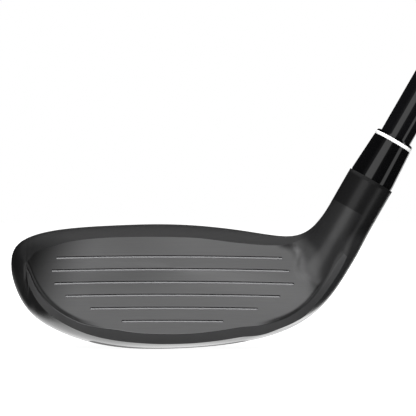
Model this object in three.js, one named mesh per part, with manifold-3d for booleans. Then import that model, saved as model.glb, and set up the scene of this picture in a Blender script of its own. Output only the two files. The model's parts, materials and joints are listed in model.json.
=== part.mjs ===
// Hybrid golf club, right-handed: hollow steel head with a bonded shaft, ferrule and grip.
// Millimetres. +X toward the heel and shaft, -Y toward the target (front), +Z up.
// The origin is the point where the sole rests on the ground. The head is drawn in a frame
// whose x axis lies REST_Y ahead of that point, and the group is then shifted to suit.
import * as THREE from 'three';
import { mergeVertices } from 'three/addons/utils/BufferGeometryUtils.js';
import Module from 'manifold-3d';

const { clamp, lerp, smoothstep } = THREE.MathUtils;
const radians = (degrees) => degrees * Math.PI / 180;
const vec = (x, y, z) => new THREE.Vector3(x, y, z);

// ---- driving dimensions ---------------------------------------------------
const LOFT = radians(22);
const LIE = radians(60);          // shaft axis above the ground
const CLUB_LENGTH = 1016;         // along the shaft axis, ground to butt
const REST_Y = 12.5;              // resting point in the drawing frame
const FACETS = 24;                // round pieces

const LEAD_EDGE_Y = -6.0;
const LEAD_EDGE_Z = 4.7;
const FACE_BULGE_R = 400;         // heel to toe
const FACE_ROLL_R = 400;          // top to bottom
const FACE_CENTRE_X = 2;          // where bulge and roll are zero
const FACE_CENTRE_Z = 18.5;
const FACE_T = 2.4;               // face plate thickness
const WALL_T = 1.9;               // body wall
const CROWN_T = 0.9;              // crown panel thickness
const SOLE_LAND = 0.10;           // depth of the flat spot ground into the sole

const AXIS_X = 33.33;             // where the shaft axis meets the ground
const AXIS_Y = LEAD_EDGE_Y + 13;
const HOSEL_TOP = 56.5;           // heights here and below run along the shaft axis
const HOSEL_R = 6.95;
const BORE_R = 4.95;              // shaft bore
const BORE_BOTTOM = 28.6;
const COLUMN_ARC = 0.94;          // share of the hosel radius kept round, straight beyond
const HEEL_FADE = 38;             // the hosel column melts into the heel below this
const HEEL_MELT = 0.025;          // 1/mm, how fast it melts
const HEEL_FILLET = 8.0;          // fillet between face and hosel

// ---- head ribs --------------------------------------------------------------
// Ribs are sections across the head at stations u, from the toe tip to the hosel top.
// A place on a rib is a fraction of it, 0 at the bottom and 1 at the top.
const U_TOE = 11.85;              // toe point of the face
const U_HEEL = 96.5;              // heel edge of the face plate
const U_END = 127.63;             // hosel top
const TOE_FRACTION = 0.63;        // where the face limits meet, out to the toe tip

// u, top x, top z, bottom x, bottom z, then fractions: face top, face bottom, chamfer bottom
const RIBS = [
  [0.00, -43.083, 24.618, -43.083, 24.618, 0.630, 0.630, 0.630],
  [1.60, -43.012, 26.141, -43.012, 22.881, 0.630, 0.630, 0.630],
  [2.64, -42.849, 27.066, -42.849, 21.723, 0.630, 0.630, 0.630],
  [3.90, -42.542, 28.080, -42.535, 20.290, 0.630, 0.630, 0.630],
  [5.52, -41.960, 29.216, -41.938, 18.333, 0.630, 0.630, 0.630],
  [7.17, -41.212, 30.169, -41.169, 16.345, 0.630, 0.630, 0.630],
  [8.77, -40.312, 30.959, -40.248, 14.470, 0.630, 0.630, 0.630],
  [11.00, -38.828, 31.870, -38.738, 12.138, 0.630, 0.630, 0.630],
  [11.85, -38.220, 32.190, -38.120, 11.350, 0.630, 0.630, 0.630],
  [12.30, -37.878, 32.340, -37.773, 10.949, 0.675, 0.578, 0.394],
  [12.98, -37.339, 32.549, -37.227, 10.367, 0.704, 0.544, 0.354],
  [15.33, -35.392, 33.218, -35.257, 8.618, 0.795, 0.396, 0.250],
  [17.93, -33.080, 33.805, -32.923, 7.031, 0.823, 0.301, 0.186],
  [21.04, -30.145, 34.363, -29.973, 5.465, 0.845, 0.235, 0.141],
  [25.23, -26.066, 34.890, -25.889, 3.745, 0.876, 0.189, 0.111],
  [31.15, -20.151, 35.387, -19.981, 1.925, 0.895, 0.163, 0.084],
  [38.39, -12.855, 35.772, -12.704, 0.573, 0.903, 0.164, 0.070],
  [45.59, -5.586, 36.037, -5.472, 0.030, 0.902, 0.147, 0.062],
  [52.78, 1.725, 36.098, 1.860, 0.014, 0.900, 0.139, 0.054],
  [59.97, 9.120, 35.844, 9.069, 0.308, 0.900, 0.136, 0.052],
  [67.17, 16.509, 35.237, 16.305, 0.871, 0.898, 0.144, 0.056],
  [74.41, 23.626, 34.371, 23.795, 1.884, 0.898, 0.156, 0.062],
  [80.26, 28.870, 33.580, 30.201, 3.260, 0.900, 0.143, 0.045],
  [85.62, 33.139, 32.966, 36.382, 5.274, 0.906, 0.145, 0.054],
  [90.36, 36.487, 32.675, 41.846, 7.993, 0.912, 0.164, 0.054],
  [94.92, 39.365, 32.839, 46.768, 11.771, 0.921, 0.204, 0.096],
  [99.33, 41.858, 33.574, 50.916, 16.516, 0.927, 0.248, 0.125],
  [103.83, 44.175, 34.991, 54.432, 21.867, 0.921, 0.292, 0.144],
  [106.30, 45.362, 36.082, 56.135, 24.729, 0.916, 0.276, 0.168],
  [108.77, 46.524, 37.393, 57.690, 27.510, 0.909, 0.320, 0.195],
  [113.47, 48.720, 40.440, 60.330, 32.610, 0.877, 0.430, 0.230],
  [117.60, 50.570, 43.610, 62.600, 36.720, 0.860, 0.440, 0.240],
  [U_END, 55.594, 52.376, 67.626, 45.430, 0.850, 0.450, 0.250],
];
// u, crown ridge y, sole low-line y, rear edge y, rear edge fraction, crown power, sole power
const REAR = [
  [0.00, 13.00, 13.00, 13.00, 0.500, 2.00, 2.00],
  [1.60, 13.00, 13.00, 18.20, 0.500, 2.00, 2.00],
  [2.64, 13.00, 13.00, 21.20, 0.490, 2.00, 2.00],
  [3.90, 13.10, 13.00, 24.40, 0.480, 2.00, 2.00],
  [5.52, 13.20, 12.90, 28.00, 0.470, 2.00, 2.00],
  [7.17, 13.40, 12.80, 31.00, 0.460, 2.00, 2.00],
  [8.77, 13.60, 12.70, 33.50, 0.450, 2.00, 2.00],
  [11.00, 13.90, 12.60, 36.40, 0.440, 2.00, 2.00],
  [15.33, 14.40, 12.30, 40.70, 0.420, 2.00, 2.05],
  [21.04, 15.00, 12.00, 44.80, 0.410, 1.95, 2.10],
  [31.15, 15.60, 11.80, 48.60, 0.395, 1.90, 2.20],
  [42.00, 16.00, 11.60, 50.10, 0.390, 1.90, 2.20],
  [52.78, 16.00, 11.50, 50.00, 0.390, 1.90, 2.20],
  [59.97, 15.80, 11.30, 49.00, 0.390, 1.90, 2.20],
  [67.17, 15.20, 11.00, 46.80, 0.400, 1.90, 2.20],
  [74.41, 14.00, 10.40, 43.20, 0.410, 1.90, 2.20],
  [80.26, 12.70, 9.80, 39.10, 0.420, 1.92, 2.15],
  [85.62, 11.20, 9.10, 33.90, 0.430, 1.95, 2.10],
  [90.36, 9.90, 9.00, 28.60, 0.450, 2.00, 2.05],
  [94.92, 8.80, 8.90, 23.40, 0.470, 2.00, 2.00],
  [99.33, 7.90, 8.70, 19.30, 0.485, 2.00, 2.00],
  [103.83, 7.30, 8.10, 16.40, 0.495, 2.00, 2.00],
  [108.77, 7.05, 7.20, 14.75, 0.500, 2.00, 2.00],
  [113.47, 7.00, 7.00, 14.12, 0.500, 2.00, 2.00],
  [117.60, 7.00, 7.00, 13.95, 0.500, 2.00, 2.00],
  [U_END, 7.00, 7.00, 13.95, 0.500, 2.00, 2.00],
];
// stretches of u over which something comes in or dies away
const FADES = {
  chamferGrows: [10, 30],
  filletIn: [58, 66],
  soleLandOut: [85, 100],
  chamferEases: [86, 100],
  chamferOut: [105.5, 107],
  hoselIn: [105.5, 117],
};
const FILLET_FROM = 60;           // no heel fillet up to this u
const fade = (u, [from, to]) => smoothstep(u, from, to);

// the toe end rounds back from the face to its tip
const TOE_ROUND = { startX: -38.2, length: 4.88, tip: vec(-43, 13, 24.6) };

// ---- curve helpers ----------------------------------------------------------
function spanIndex(xs, x) {
  let i = 0;
  while (i < xs.length - 2 && x > xs[i + 1]) i++;
  return i;
}
function spline(xs, ys) {         // natural cubic
  const count = xs.length;
  const [bend, upper, rest] = [0, 1, 2].map(() => new Array(count).fill(0));
  for (let i = 1; i < count - 1; i++) {
    const before = xs[i] - xs[i - 1];
    const after = xs[i + 1] - xs[i];
    const turn = 6 * ((ys[i + 1] - ys[i]) / after - (ys[i] - ys[i - 1]) / before);
    const pivot = 2 * (before + after) - before * upper[i - 1];
    upper[i] = after / pivot;
    rest[i] = (turn - before * rest[i - 1]) / pivot;
  }
  for (let i = count - 2; i > 0; i--) bend[i] = rest[i] - upper[i] * bend[i + 1];
  return (x) => {
    const i = spanIndex(xs, x);
    const width = xs[i + 1] - xs[i];
    const a = (xs[i + 1] - x) / width;
    const b = (x - xs[i]) / width;
    const curved = (a * a * a - a) * bend[i] + (b * b * b - b) * bend[i + 1];
    return a * ys[i] + b * ys[i + 1] + curved * width * width / 6;
  };
}
function pchip(xs, ys) {          // shape-keeping cubic
  const last = xs.length - 1;
  const widths = [];
  const slopes = [];
  for (let i = 0; i < last; i++) {
    widths.push(xs[i + 1] - xs[i]);
    slopes.push((ys[i + 1] - ys[i]) / widths[i]);
  }
  const tangents = xs.map((_, i) => {
    if (i === 0) return slopes[0];
    if (i === last) return slopes[last - 1];
    if (slopes[i - 1] * slopes[i] <= 0) return 0;
    const w1 = 2 * widths[i] + widths[i - 1];
    const w2 = widths[i] + 2 * widths[i - 1];
    return (w1 + w2) / (w1 / slopes[i - 1] + w2 / slopes[i]);
  });
  return (x) => {
    const i = spanIndex(xs, x);
    const t = (x - xs[i]) / widths[i];
    const t2 = t * t;
    const t3 = t2 * t;
    return (2 * t3 - 3 * t2 + 1) * ys[i] + (t3 - 2 * t2 + t) * widths[i] * tangents[i]
      + (3 * t2 - 2 * t3) * ys[i + 1] + (t3 - t2) * widths[i] * tangents[i + 1];
  };
}
const column = (table, k) => table.map((row) => row[k]);
const curve = (fit, table, k) => fit(column(table, 0), column(table, k));
const RIB_CURVES = {
  topX: curve(spline, RIBS, 1),
  topZ: curve(spline, RIBS, 2),
  bottomX: curve(spline, RIBS, 3),
  bottomZ: curve(spline, RIBS, 4),
  faceTop: curve(pchip, RIBS, 5),
  faceBottom: curve(pchip, RIBS, 6),
  chamferBottom: curve(pchip, RIBS, 7),
  ridgeY: curve(pchip, REAR, 1),
  lowLineY: curve(pchip, REAR, 2),
  rearY: curve(pchip, REAR, 3),
  rearEdge: curve(pchip, REAR, 4),
  crownPower: curve(pchip, REAR, 5),
  solePower: curve(pchip, REAR, 6),
};

// ---- head surface -----------------------------------------------------------
const SIN_LIE = Math.sin(LIE);
const COS_LIE = Math.cos(LIE);

function faceY(x, z) {
  return LEAD_EDGE_Y + (z - LEAD_EDGE_Z) * Math.tan(LOFT)
    + (x - FACE_CENTRE_X) ** 2 / (2 * FACE_BULGE_R)
    + (z - FACE_CENTRE_Z) ** 2 / (2 * FACE_ROLL_R);
}
function columnY(x, z) {          // front of the hosel running down into the heel
  const along = (x - AXIS_X) * COS_LIE + z * SIN_LIE;
  const across = Math.abs((x - AXIS_X) * SIN_LIE - z * COS_LIE);
  const limit = COLUMN_ARC * HOSEL_R;
  const arc = (d) => Math.sqrt(HOSEL_R * HOSEL_R - d * d);
  let y = across < limit
    ? AXIS_Y - arc(across)
    : AXIS_Y - arc(limit) + (across - limit) * limit / arc(limit);
  if (along < HEEL_FADE) y += (HEEL_FADE - along) ** 2 * HEEL_MELT;
  return y;
}
function smoothMin(a, b, reach) {
  const h = Math.max(reach - Math.abs(a - b), 0) / reach;
  return Math.min(a, b) - h * h * reach / 4;
}
const filletedFaceY = (y, x, z) => smoothMin(y, columnY(x, z), HEEL_FILLET);

// chamfer run toward the rear per millimetre of drop
const chamferSlope = (u) =>
  (1.1 - 0.35 * fade(u, FADES.chamferEases)) * (0.45 + 0.55 * fade(u, FADES.chamferGrows));

function rib(u) {
  const r = { u };
  for (const [name, at] of Object.entries(RIB_CURVES)) r[name] = at(u);
  r.bottomZ -= SOLE_LAND * (1 - fade(u, FADES.soleLandOut));
  r.height = Math.hypot(r.topX - r.bottomX, r.topZ - r.bottomZ);
  const { startX, length, tip } = TOE_ROUND;
  const toeShare = clamp((startX - r.topX) / length, 0, 1);
  r.toeSetback = (tip.y - faceY(tip.x, tip.z)) * (1 - Math.sqrt(1 - toeShare * toeShare));
  r.frontPower = 1 + smoothstep(toeShare, 0, 0.45);
  r.hoselShare = fade(u, FADES.hoselIn);
  if (u <= U_TOE) r.faceTop = r.faceBottom = r.chamferBottom = TOE_FRACTION;
  return r;
}
const onRib = (r, f) =>
  [r.bottomX + (r.topX - r.bottomX) * f, r.bottomZ + (r.topZ - r.bottomZ) * f];
const planeY = (r, f) => faceY(...onRib(r, f)) + r.toeSetback;
const chamferDepth = (r, f) => chamferSlope(r.u) * (r.faceBottom - f) * r.height;

// rounded edge: share of height for a share of depth, and depth for height
const edgeRise = (depth, power) => Math.pow(1 - (1 - depth) * (1 - depth), 1 / power);
const edgeDepth = (rise, power) => 1 - Math.sqrt(Math.max(0, 1 - Math.pow(rise, power)));

const SOLE_FRONT = 0;
const CHAMFER = 1;
const FACE = 2;                   // the fourth segment, 3, is the topline roll
const FRONT_ROWS = [4, 1, 5, 3];  // rows per segment
const FRONT_TOTAL = FRONT_ROWS.reduce((a, b) => a + b, 0);
const REAR_ROWS = 7;

// point on the front of the head; t 0..1 within the segment, share 0..1 of the front rows
function front(r, segment, t, share) {
  const skinY = (f, y = planeY(r, f)) => (r.u > FILLET_FROM
    ? y + (filletedFaceY(y, ...onRib(r, f)) - y) * fade(r.u, FADES.filletIn)
    : y);
  const faceBottomY = skinY(r.faceBottom);
  const groundY = (f) => {        // the skin with the leading edge ground off
    const skin = skinY(f);
    const cut = Math.max(skin, faceBottomY + chamferDepth(r, f));
    return skin + (cut - skin) * (1 - fade(r.u, FADES.chamferOut));
  };
  let f;
  let y;
  if (segment === SOLE_FRONT) {
    const depth = 1 - t;
    const startY = groundY(r.chamferBottom);
    f = r.chamferBottom * (1 - edgeRise(depth, r.frontPower));
    y = startY + (r.lowLineY - startY) * depth;
  } else if (segment === CHAMFER) {
    f = r.chamferBottom + (r.faceBottom - r.chamferBottom) * t;
    y = groundY(f);
  } else if (segment === FACE) {
    f = r.faceBottom + (r.faceTop - r.faceBottom) * t;
    y = skinY(f);
  } else {
    f = r.faceTop + (1 - r.faceTop) * edgeRise(t, r.frontPower);
    const rollY = planeY(r, f) + (r.ridgeY - planeY(r, 1)) * t;
    y = rollY + (skinY(f, rollY) - rollY) * (1 - Math.pow(t, 4));
  }
  // toward the hosel the section turns into a half circle
  f = lerp(f, (1 - Math.cos(Math.PI * share)) / 2, r.hoselShare);
  const side = 2 * f - 1;
  y = lerp(y, AXIS_Y - HOSEL_R * Math.sqrt(Math.max(0, 1 - side * side)), r.hoselShare);
  const [x, z] = onRib(r, f);
  return vec(x, y, z);
}
// superellipse quarter from (startF, startY) at phi 0 to the rear edge at phi pi/2
function rearCurve(r, startF, startY, endY, power, phi) {
  const cos = Math.pow(Math.cos(phi), 2 / power);
  const sin = Math.pow(Math.sin(phi), 2 / power);
  const [x, z] = onRib(r, r.rearEdge + (startF - r.rearEdge) * cos);
  return vec(x, startY + (endY - startY) * sin, z);
}
const crownPoint = (r, phi) => rearCurve(r, 1, r.ridgeY, r.rearY, r.crownPower, phi);
const solePoint = (r, phi) => rearCurve(r, 0, r.lowLineY, r.rearY, r.solePower, phi);

// adds the crown quarter, then the sole quarter back to the front
function pushRear(points, rows, crownAt, soleAt, first) {
  for (let i = first; i <= rows; i++) points.push(crownAt(Math.PI / 2 * i / rows));
  for (let i = rows - 1; i > 0; i--) points.push(soleAt(Math.PI / 2 * i / rows));
}
function hullSection(u) {
  const r = rib(u);
  const points = [];
  FRONT_ROWS.forEach((rows, segment) => {
    for (let i = 0; i < rows; i++) {
      points.push(front(r, segment, i / rows, points.length / FRONT_TOTAL));
    }
  });
  pushRear(points, REAR_ROWS, (phi) => crownPoint(r, phi), (phi) => solePoint(r, phi), 0);
  return points;
}

// ---- mesh helpers -----------------------------------------------------------
function weld(vertices, triangles) {   // joins equal vertices, drops empty triangles
  const seen = new Map();
  const positions = [];
  const welded = vertices.map(({ x, y, z }) => {
    const key = `${x.toFixed(5)},${y.toFixed(5)},${z.toFixed(5)}`;
    if (!seen.has(key)) {
      seen.set(key, positions.length / 3);
      positions.push(x, y, z);
    }
    return seen.get(key);
  });
  const g = new THREE.BufferGeometry();
  g.setAttribute('position', new THREE.Float32BufferAttribute(positions, 3));
  g.setIndex(dropEmpty(triangles.flat().map((k) => welded[k])));
  return g;
}
function dropEmpty(index) {
  const kept = [];
  for (let i = 0; i < index.length; i += 3) {
    const [a, b, c] = [index[i], index[i + 1], index[i + 2]];
    if (a !== b && b !== c && c !== a) kept.push(a, b, c);
  }
  return kept;
}
const quad = (a, b, c, d) => [[a, b, c], [c, b, d]];

function loft(rings) {            // closed rings joined in order, ends fanned to their centres
  const n = rings[0].length;
  const vertices = rings.flat();
  const triangles = [];
  for (let i = 0; i < rings.length - 1; i++) {
    for (let j = 0; j < n; j++) {
      const a = i * n + j;
      const b = i * n + (j + 1) % n;
      triangles.push(...quad(a, a + n, b, b + n));
    }
  }
  for (const [ring, flip] of [[0, false], [rings.length - 1, true]]) {
    const centre = vec(0, 0, 0);
    rings[ring].forEach((p) => centre.add(p));
    const k = vertices.push(centre.divideScalar(n)) - 1;
    for (let j = 0; j < n; j++) {
      const a = ring * n + j;
      const b = ring * n + (j + 1) % n;
      triangles.push(flip ? [a, k, b] : [a, b, k]);
    }
  }
  return solid(weld(vertices, triangles));
}
function slab(outer, inner) {     // two matching grids [i][j] joined round their edges
  const ni = outer.length;
  const nj = outer[0].length;
  const triangles = [];
  const add = (...corners) => triangles.push(...quad(...corners));
  const o = (i, j) => i * nj + j;
  const q = (i, j) => (ni + i) * nj + j;
  for (let i = 0; i < ni - 1; i++) {
    for (let j = 0; j < nj - 1; j++) {
      add(o(i, j), o(i + 1, j), o(i, j + 1), o(i + 1, j + 1));
      add(q(i, j), q(i, j + 1), q(i + 1, j), q(i + 1, j + 1));
    }
  }
  for (let i = 0, end = nj - 1; i < ni - 1; i++) {
    add(o(i, 0), q(i, 0), o(i + 1, 0), q(i + 1, 0));
    add(o(i, end), o(i + 1, end), q(i, end), q(i + 1, end));
  }
  for (let j = 0, end = ni - 1; j < nj - 1; j++) {
    add(o(0, j), o(0, j + 1), q(0, j), q(0, j + 1));
    add(o(end, j), q(end, j), o(end, j + 1), q(end, j + 1));
  }
  return solid(weld([...outer.flat(), ...inner.flat()], triangles));
}
const wasm = await Module();
wasm.setup();

function signedVolume(g) {
  const index = g.index.array;
  const corner = (i) => vec(0, 0, 0).fromBufferAttribute(g.attributes.position, index[i]);
  let sum = 0;
  for (let i = 0; i < index.length; i += 3) {
    sum += corner(i).dot(corner(i + 1).cross(corner(i + 2))) / 6;
  }
  return sum;
}
function solid(source) {          // manifold solid from a closed mesh, turned right side out
  let g = source.clone();
  g.deleteAttribute('normal');
  g.deleteAttribute('uv');
  g = mergeVertices(g, 1e-4);
  const index = dropEmpty(g.index.array);
  g.setIndex(index);
  if (signedVolume(g) < 0) {
    for (let i = 0; i < index.length; i += 3) {
      [index[i], index[i + 1]] = [index[i + 1], index[i]];
    }
  }
  return new wasm.Manifold(new wasm.Mesh({
    numProp: 3,
    vertProperties: new Float32Array(g.attributes.position.array),
    triVerts: new Uint32Array(index),
  }));
}
function geometry(piece) {
  const mesh = piece.getMesh();
  const g = new THREE.BufferGeometry();
  g.setAttribute('position', new THREE.Float32BufferAttribute(mesh.vertProperties, 3));
  g.setIndex(Array.from(mesh.triVerts));
  return g;
}
const largest = (piece) =>        // the main body, without slivers cut loose
  piece.decompose().reduce((best, part) => (part.volume() > best.volume() ? part : best));

// profiles are [radius, distance along the axis]
const closed = (profile) => [...profile, profile[0]];
const rod = (radius, from, to) => [[0, from], [radius, from], [radius, to], [0, to]];
const tube = (inner, outer, from, to) =>
  closed([[inner, from], [outer, from], [outer, to], [inner, to]]);

function turned(profile, origin, direction) {
  const g = new THREE.LatheGeometry(profile.map(([r, s]) => new THREE.Vector2(r, s)), FACETS);
  g.applyQuaternion(new THREE.Quaternion().setFromUnitVectors(vec(0, 1, 0), direction));
  g.translate(origin.x, origin.y, origin.z);
  return solid(g);
}
const onShaft = (profile) => turned(profile, vec(AXIS_X, AXIS_Y, 0), vec(COS_LIE, 0, SIN_LIE));

// a flat outline, its x along +X, pushed along a direction square to +X
function prism(outline, depth, origin, direction = vec(0, 0, 1)) {
  const shape = new THREE.Shape(outline.map(([x, y]) => new THREE.Vector2(x, y)));
  const g = new THREE.ExtrudeGeometry(shape, { depth, bevelEnabled: false });
  const xAxis = vec(1, 0, 0);
  const yAxis = direction.clone().cross(xAxis);
  g.applyMatrix4(new THREE.Matrix4().makeBasis(xAxis, yAxis, direction).setPosition(origin));
  return solid(g);
}
function span(from, to, steps) {
  return Array.from({ length: steps + 1 }, (_, i) => from + (to - from) * i / steps);
}
const arc = (x, y, radius, from, to, steps) => span(from, to, steps).map((degrees) => [
  x + radius * Math.cos(radians(degrees)),
  y + radius * Math.sin(radians(degrees)),
]);
function capsule(length, width) { // round-ended slot outline along x
  const r = width / 2;
  const x = length / 2 - r;
  return [...arc(x, 0, r, -90, 90, 5), ...arc(-x, 0, r, 90, 270, 5)];
}
function roundedRect(width, height, r) {
  const x = width / 2 - r;
  const y = height / 2 - r;
  return [[x, -y, -90], [x, y, 0], [-x, y, 90], [-x, -y, 180]]
    .flatMap(([cx, cy, from]) => arc(cx, cy, r, from, from + 90, 3));
}

// ---- hull and cavities --------------------------------------------------------
const HULL_U = [
  0, 1.3, 2.8, 4.6, 6.8, 9.0, 10.6, U_TOE, 13, 15.3, 18, 21.5, 26, 33, 42, 52, 62, 71, 79,
  85, 90, 94, 98, 102, 106, 111, 117.4, U_END,
];
const hull = loft(HULL_U.map(hullSection));

const CAVITY_U = [14.5, 17, 20, 25, 32, 42, 52, 62, 71, 78, 83, 87, 90.5];
const CAVITY_FRONT_ROWS = 8;
const CAVITY_REAR_ROWS = 6;
const CAVITY_MIN_BOTTOM = 0.04;   // lowest fraction of the rib
const CAVITY_REAR_EXTRA = 0.4;    // wall added at the rear edge
const CAVITY_MIN_DEPTH = 4;       // front to rear

function cavitySection(u, { wall, face, sole }) {
  const r = rib(u);
  const bottom = Math.max(sole / r.height, CAVITY_MIN_BOTTOM);
  const top = 1 - wall / r.height;
  const rearY = r.rearY - wall - CAVITY_REAR_EXTRA;
  const frontY = (f) => {         // outer surface, without the heel fillet
    if (f > r.faceTop) {
      const rise = (f - r.faceTop) / (1 - r.faceTop);
      return planeY(r, f) + (r.ridgeY - planeY(r, 1)) * edgeDepth(rise, r.frontPower);
    }
    if (f >= r.faceBottom) return planeY(r, f);
    const bottomY = planeY(r, r.faceBottom);
    if (f >= r.chamferBottom) return bottomY + chamferDepth(r, f);
    const y = bottomY + chamferDepth(r, r.chamferBottom);
    const drop = (r.chamferBottom - f) / r.chamferBottom;
    return y + (r.lowLineY - y) * edgeDepth(drop, r.frontPower);
  };
  const points = span(bottom, top, CAVITY_FRONT_ROWS).map((f, i) => {
    const [x, z] = onRib(r, f);
    // the small step keeps the rows apart where the cavity is shallow
    return vec(x, Math.min(frontY(f) + face, rearY - CAVITY_MIN_DEPTH + i * 0.01), z);
  });
  const bottomY = points[0].y;
  const topY = points[CAVITY_FRONT_ROWS].y;
  pushRear(
    points,
    CAVITY_REAR_ROWS,
    (phi) => rearCurve(r, top, topY, rearY, r.crownPower, phi),
    (phi) => rearCurve(r, bottom, bottomY, rearY, r.solePower, phi),
    1,
  );
  return points;
}
const makeCavity = (thickness) => loft(CAVITY_U.map((u) => cavitySection(u, thickness)));
const cavity = makeCavity({ wall: WALL_T, face: FACE_T + 0.15, sole: WALL_T + 0.3 });
// a smaller cavity that keeps the loose pieces clear of the walls
const clearCavity = makeCavity({ wall: WALL_T + 0.5, face: FACE_T + 1.2, sole: WALL_T + 0.7 });

// ---- face plate and its seat ----------------------------------------------------
const SEAT_U = [
  U_TOE + 0.25, U_TOE + 0.4, 12.6, 13.5, 15.3, 18, 21.5, 26, 33, 42, 52, 62, 71, 79, 85, 89,
  92.5, U_HEEL,
];
const PLATE_U = [...SEAT_U.slice(1, -1), U_HEEL - 0.15];
const FACE_GRID_ROWS = 6;
const FACE_EDGE_GAP = 0.1;        // plate inside the face outline, seat outside it
const FACE_SEAT_EXTRA = 0.35;     // seat depth beyond the plate

function faceGrid(stations, offsetY, margin) {
  const rowsBelow = FRONT_ROWS[SOLE_FRONT] + FRONT_ROWS[CHAMFER];
  return stations.map((u) => {
    const r = rib(u);
    let low = r.faceBottom + margin / r.height;
    let high = r.faceTop - margin / r.height;
    if (high < low) low = high = (low + high) / 2;
    return span(low, high, FACE_GRID_ROWS).map((f) => {
      const t = (f - r.faceBottom) / (r.faceTop - r.faceBottom);
      const p = front(r, FACE, t, (rowsBelow + FRONT_ROWS[FACE] * t) / FRONT_TOTAL);
      p.y += offsetY;
      return p;
    });
  });
}
const faceSlab = (stations, frontY, rearY, margin) =>
  slab(faceGrid(stations, frontY, margin), faceGrid(stations, rearY, margin));

// score lines from the top down: toe-end x, heel-end x
const SCORE_LINES = [
  [-29.5, 35.9], [-30.75, 37.9], [-29.9, 39.2], [-26.6, 35.2], [-19.4, 28.7], [-10.35, 18.8],
];
const SCORE_TOP_Z = 26.9;
const GROOVE_PITCH = 3.94;        // along the face
const GROOVE_W = 0.75;
const GROOVE_D = 0.35;
const GROOVE_CUT = 3;             // how far the cutter stands out of the face
const GROOVE_SPANS = 5;
// rounded groove end: distance in from the end over the radius, share of full width
const GROOVE_END = [[0, 0.35], [0.3, 0.714], [1, 1]];

// a round-ended bar following the bulge, square to the loft plane
function grooveCutter([toeX, heelX], k) {
  const outward = vec(0, -Math.cos(LOFT), Math.sin(LOFT));
  const upFace = vec(0, Math.sin(LOFT), Math.cos(LOFT));
  const z = SCORE_TOP_Z - k * GROOVE_PITCH * Math.cos(LOFT);
  const radius = GROOVE_W / 2;
  const stations = [
    ...GROOVE_END.map(([inset, width]) => [toeX + inset * radius, width]),
    ...span(toeX, heelX, GROOVE_SPANS).slice(1, -1).map((x) => [x, 1]),
    ...GROOVE_END.map(([inset, width]) => [heelX - inset * radius, width]).reverse(),
  ];
  const rows = (offset) => stations.map(([x, width]) => [-1, 1].map((side) =>
    vec(x, filletedFaceY(faceY(x, z), x, z), z)
      .addScaledVector(upFace, side * width * radius)
      .addScaledVector(outward, offset)));
  return slab(rows(GROOVE_CUT), rows(-GROOVE_D));
}
function makeFacePlate() {
  const plate = faceSlab(PLATE_U, 0, FACE_T, FACE_EDGE_GAP);
  return SCORE_LINES.map(grooveCutter).reduce((left, cutter) => left.subtract(cutter), plate);
}

// ---- crown panel, its seat and the window under it ----------------------------------
const CROWN_U = [17, 20, 25, 32, 41, 51, 61, 70, 78, 83.5, 87.5];
const WINDOW_U = [21, 25, 32, 41, 51, 61, 70, 78, 82.5];
const CROWN_PHI = [0.14, 1.06];
const CROWN_ROWS = 8;
const CROWN_SEAT = { growU: 0.25, growPhi: 0.008, above: 3, gapBelow: 0.2 };
const CROWN_WINDOW = { phi: [0.27, 0.94], rows: 6, above: 1, below: 5.5 };

function crownGrid(stations, phis, offset) {   // offset is along the outward normal
  return stations.map((u) => phis.map((phi) => {
    const r = rib(u);
    const acrossRib = crownPoint(r, Math.min(phi + 0.02, Math.PI / 2))
      .sub(crownPoint(r, Math.max(phi - 0.02, 0)));
    const alongHead = crownPoint(rib(u + 0.3), phi).sub(crownPoint(rib(u - 0.3), phi));
    const normal = acrossRib.cross(alongHead).normalize();
    if (normal.z < 0) normal.negate();
    return crownPoint(r, phi).addScaledVector(normal, offset);
  }));
}
const crownSlab = (stations, phis, above, below) =>
  slab(crownGrid(stations, phis, above), crownGrid(stations, phis, -below));

function makeCrownSeat() {
  const { growU, growPhi, above, gapBelow } = CROWN_SEAT;
  const stations = [CROWN_U[0] - growU, ...CROWN_U.slice(1, -1), CROWN_U.at(-1) + growU];
  const phis = span(CROWN_PHI[0] - growPhi, CROWN_PHI[1] + growPhi, CROWN_ROWS);
  return crownSlab(stations, phis, above, CROWN_T + gapBelow);
}
function makeCrownWindow() {
  const { phi, rows, above, below } = CROWN_WINDOW;
  return crownSlab(WINDOW_U, span(...phi, rows), above, below).intersect(hull);
}
const makeCrown = () => largest(crownSlab(CROWN_U, span(...CROWN_PHI, CROWN_ROWS), 0, CROWN_T));

// ---- sole slot, ground plane ----------------------------------------------------------
const SLOT = { x: 3, y: 6.5, length: 46, width: 5.0, insertGap: 0.15 };
const slotPrism = (gap, depth, z) => prism(
  capsule(SLOT.length - 2 * gap, SLOT.width - 2 * gap), depth, vec(SLOT.x, SLOT.y, z));
const belowGround = prism(roundedRect(60, 60, 5), 10, vec(0, 10, -10));

const makeSlotInsert = () =>
  largest(slotPrism(SLOT.insertGap, 7.0, -2).intersect(hull).subtract(belowGround));

// ---- rear weight port and screw ---------------------------------------------------------
const PORT_U = 50;
const PORT_PHI = 1.12;            // place between the sole low line and the rear edge
const PORT_FLOOR = 6.0;           // counterbore depth; depths run inward from the skin
const SCREW_HEAD_R = 6.6;
const COUNTERBORE_R = SCREW_HEAD_R + 0.4;
const SHANK_HOLE_R = 2.75;
const SHANK_R = 2.35;
const SCREW_HEAD_BOTTOM = PORT_FLOOR - 0.75;

const portRib = rib(PORT_U);
const portCentre = solePoint(portRib, PORT_PHI);
const portTangent = solePoint(portRib, PORT_PHI + 0.01)
  .sub(solePoint(portRib, PORT_PHI - 0.01));
const portInward = vec(0, -portTangent.z, portTangent.y).normalize();
if (portInward.z < 0) portInward.negate();
const onPort = (profile) => turned(profile, portCentre, portInward);

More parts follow.
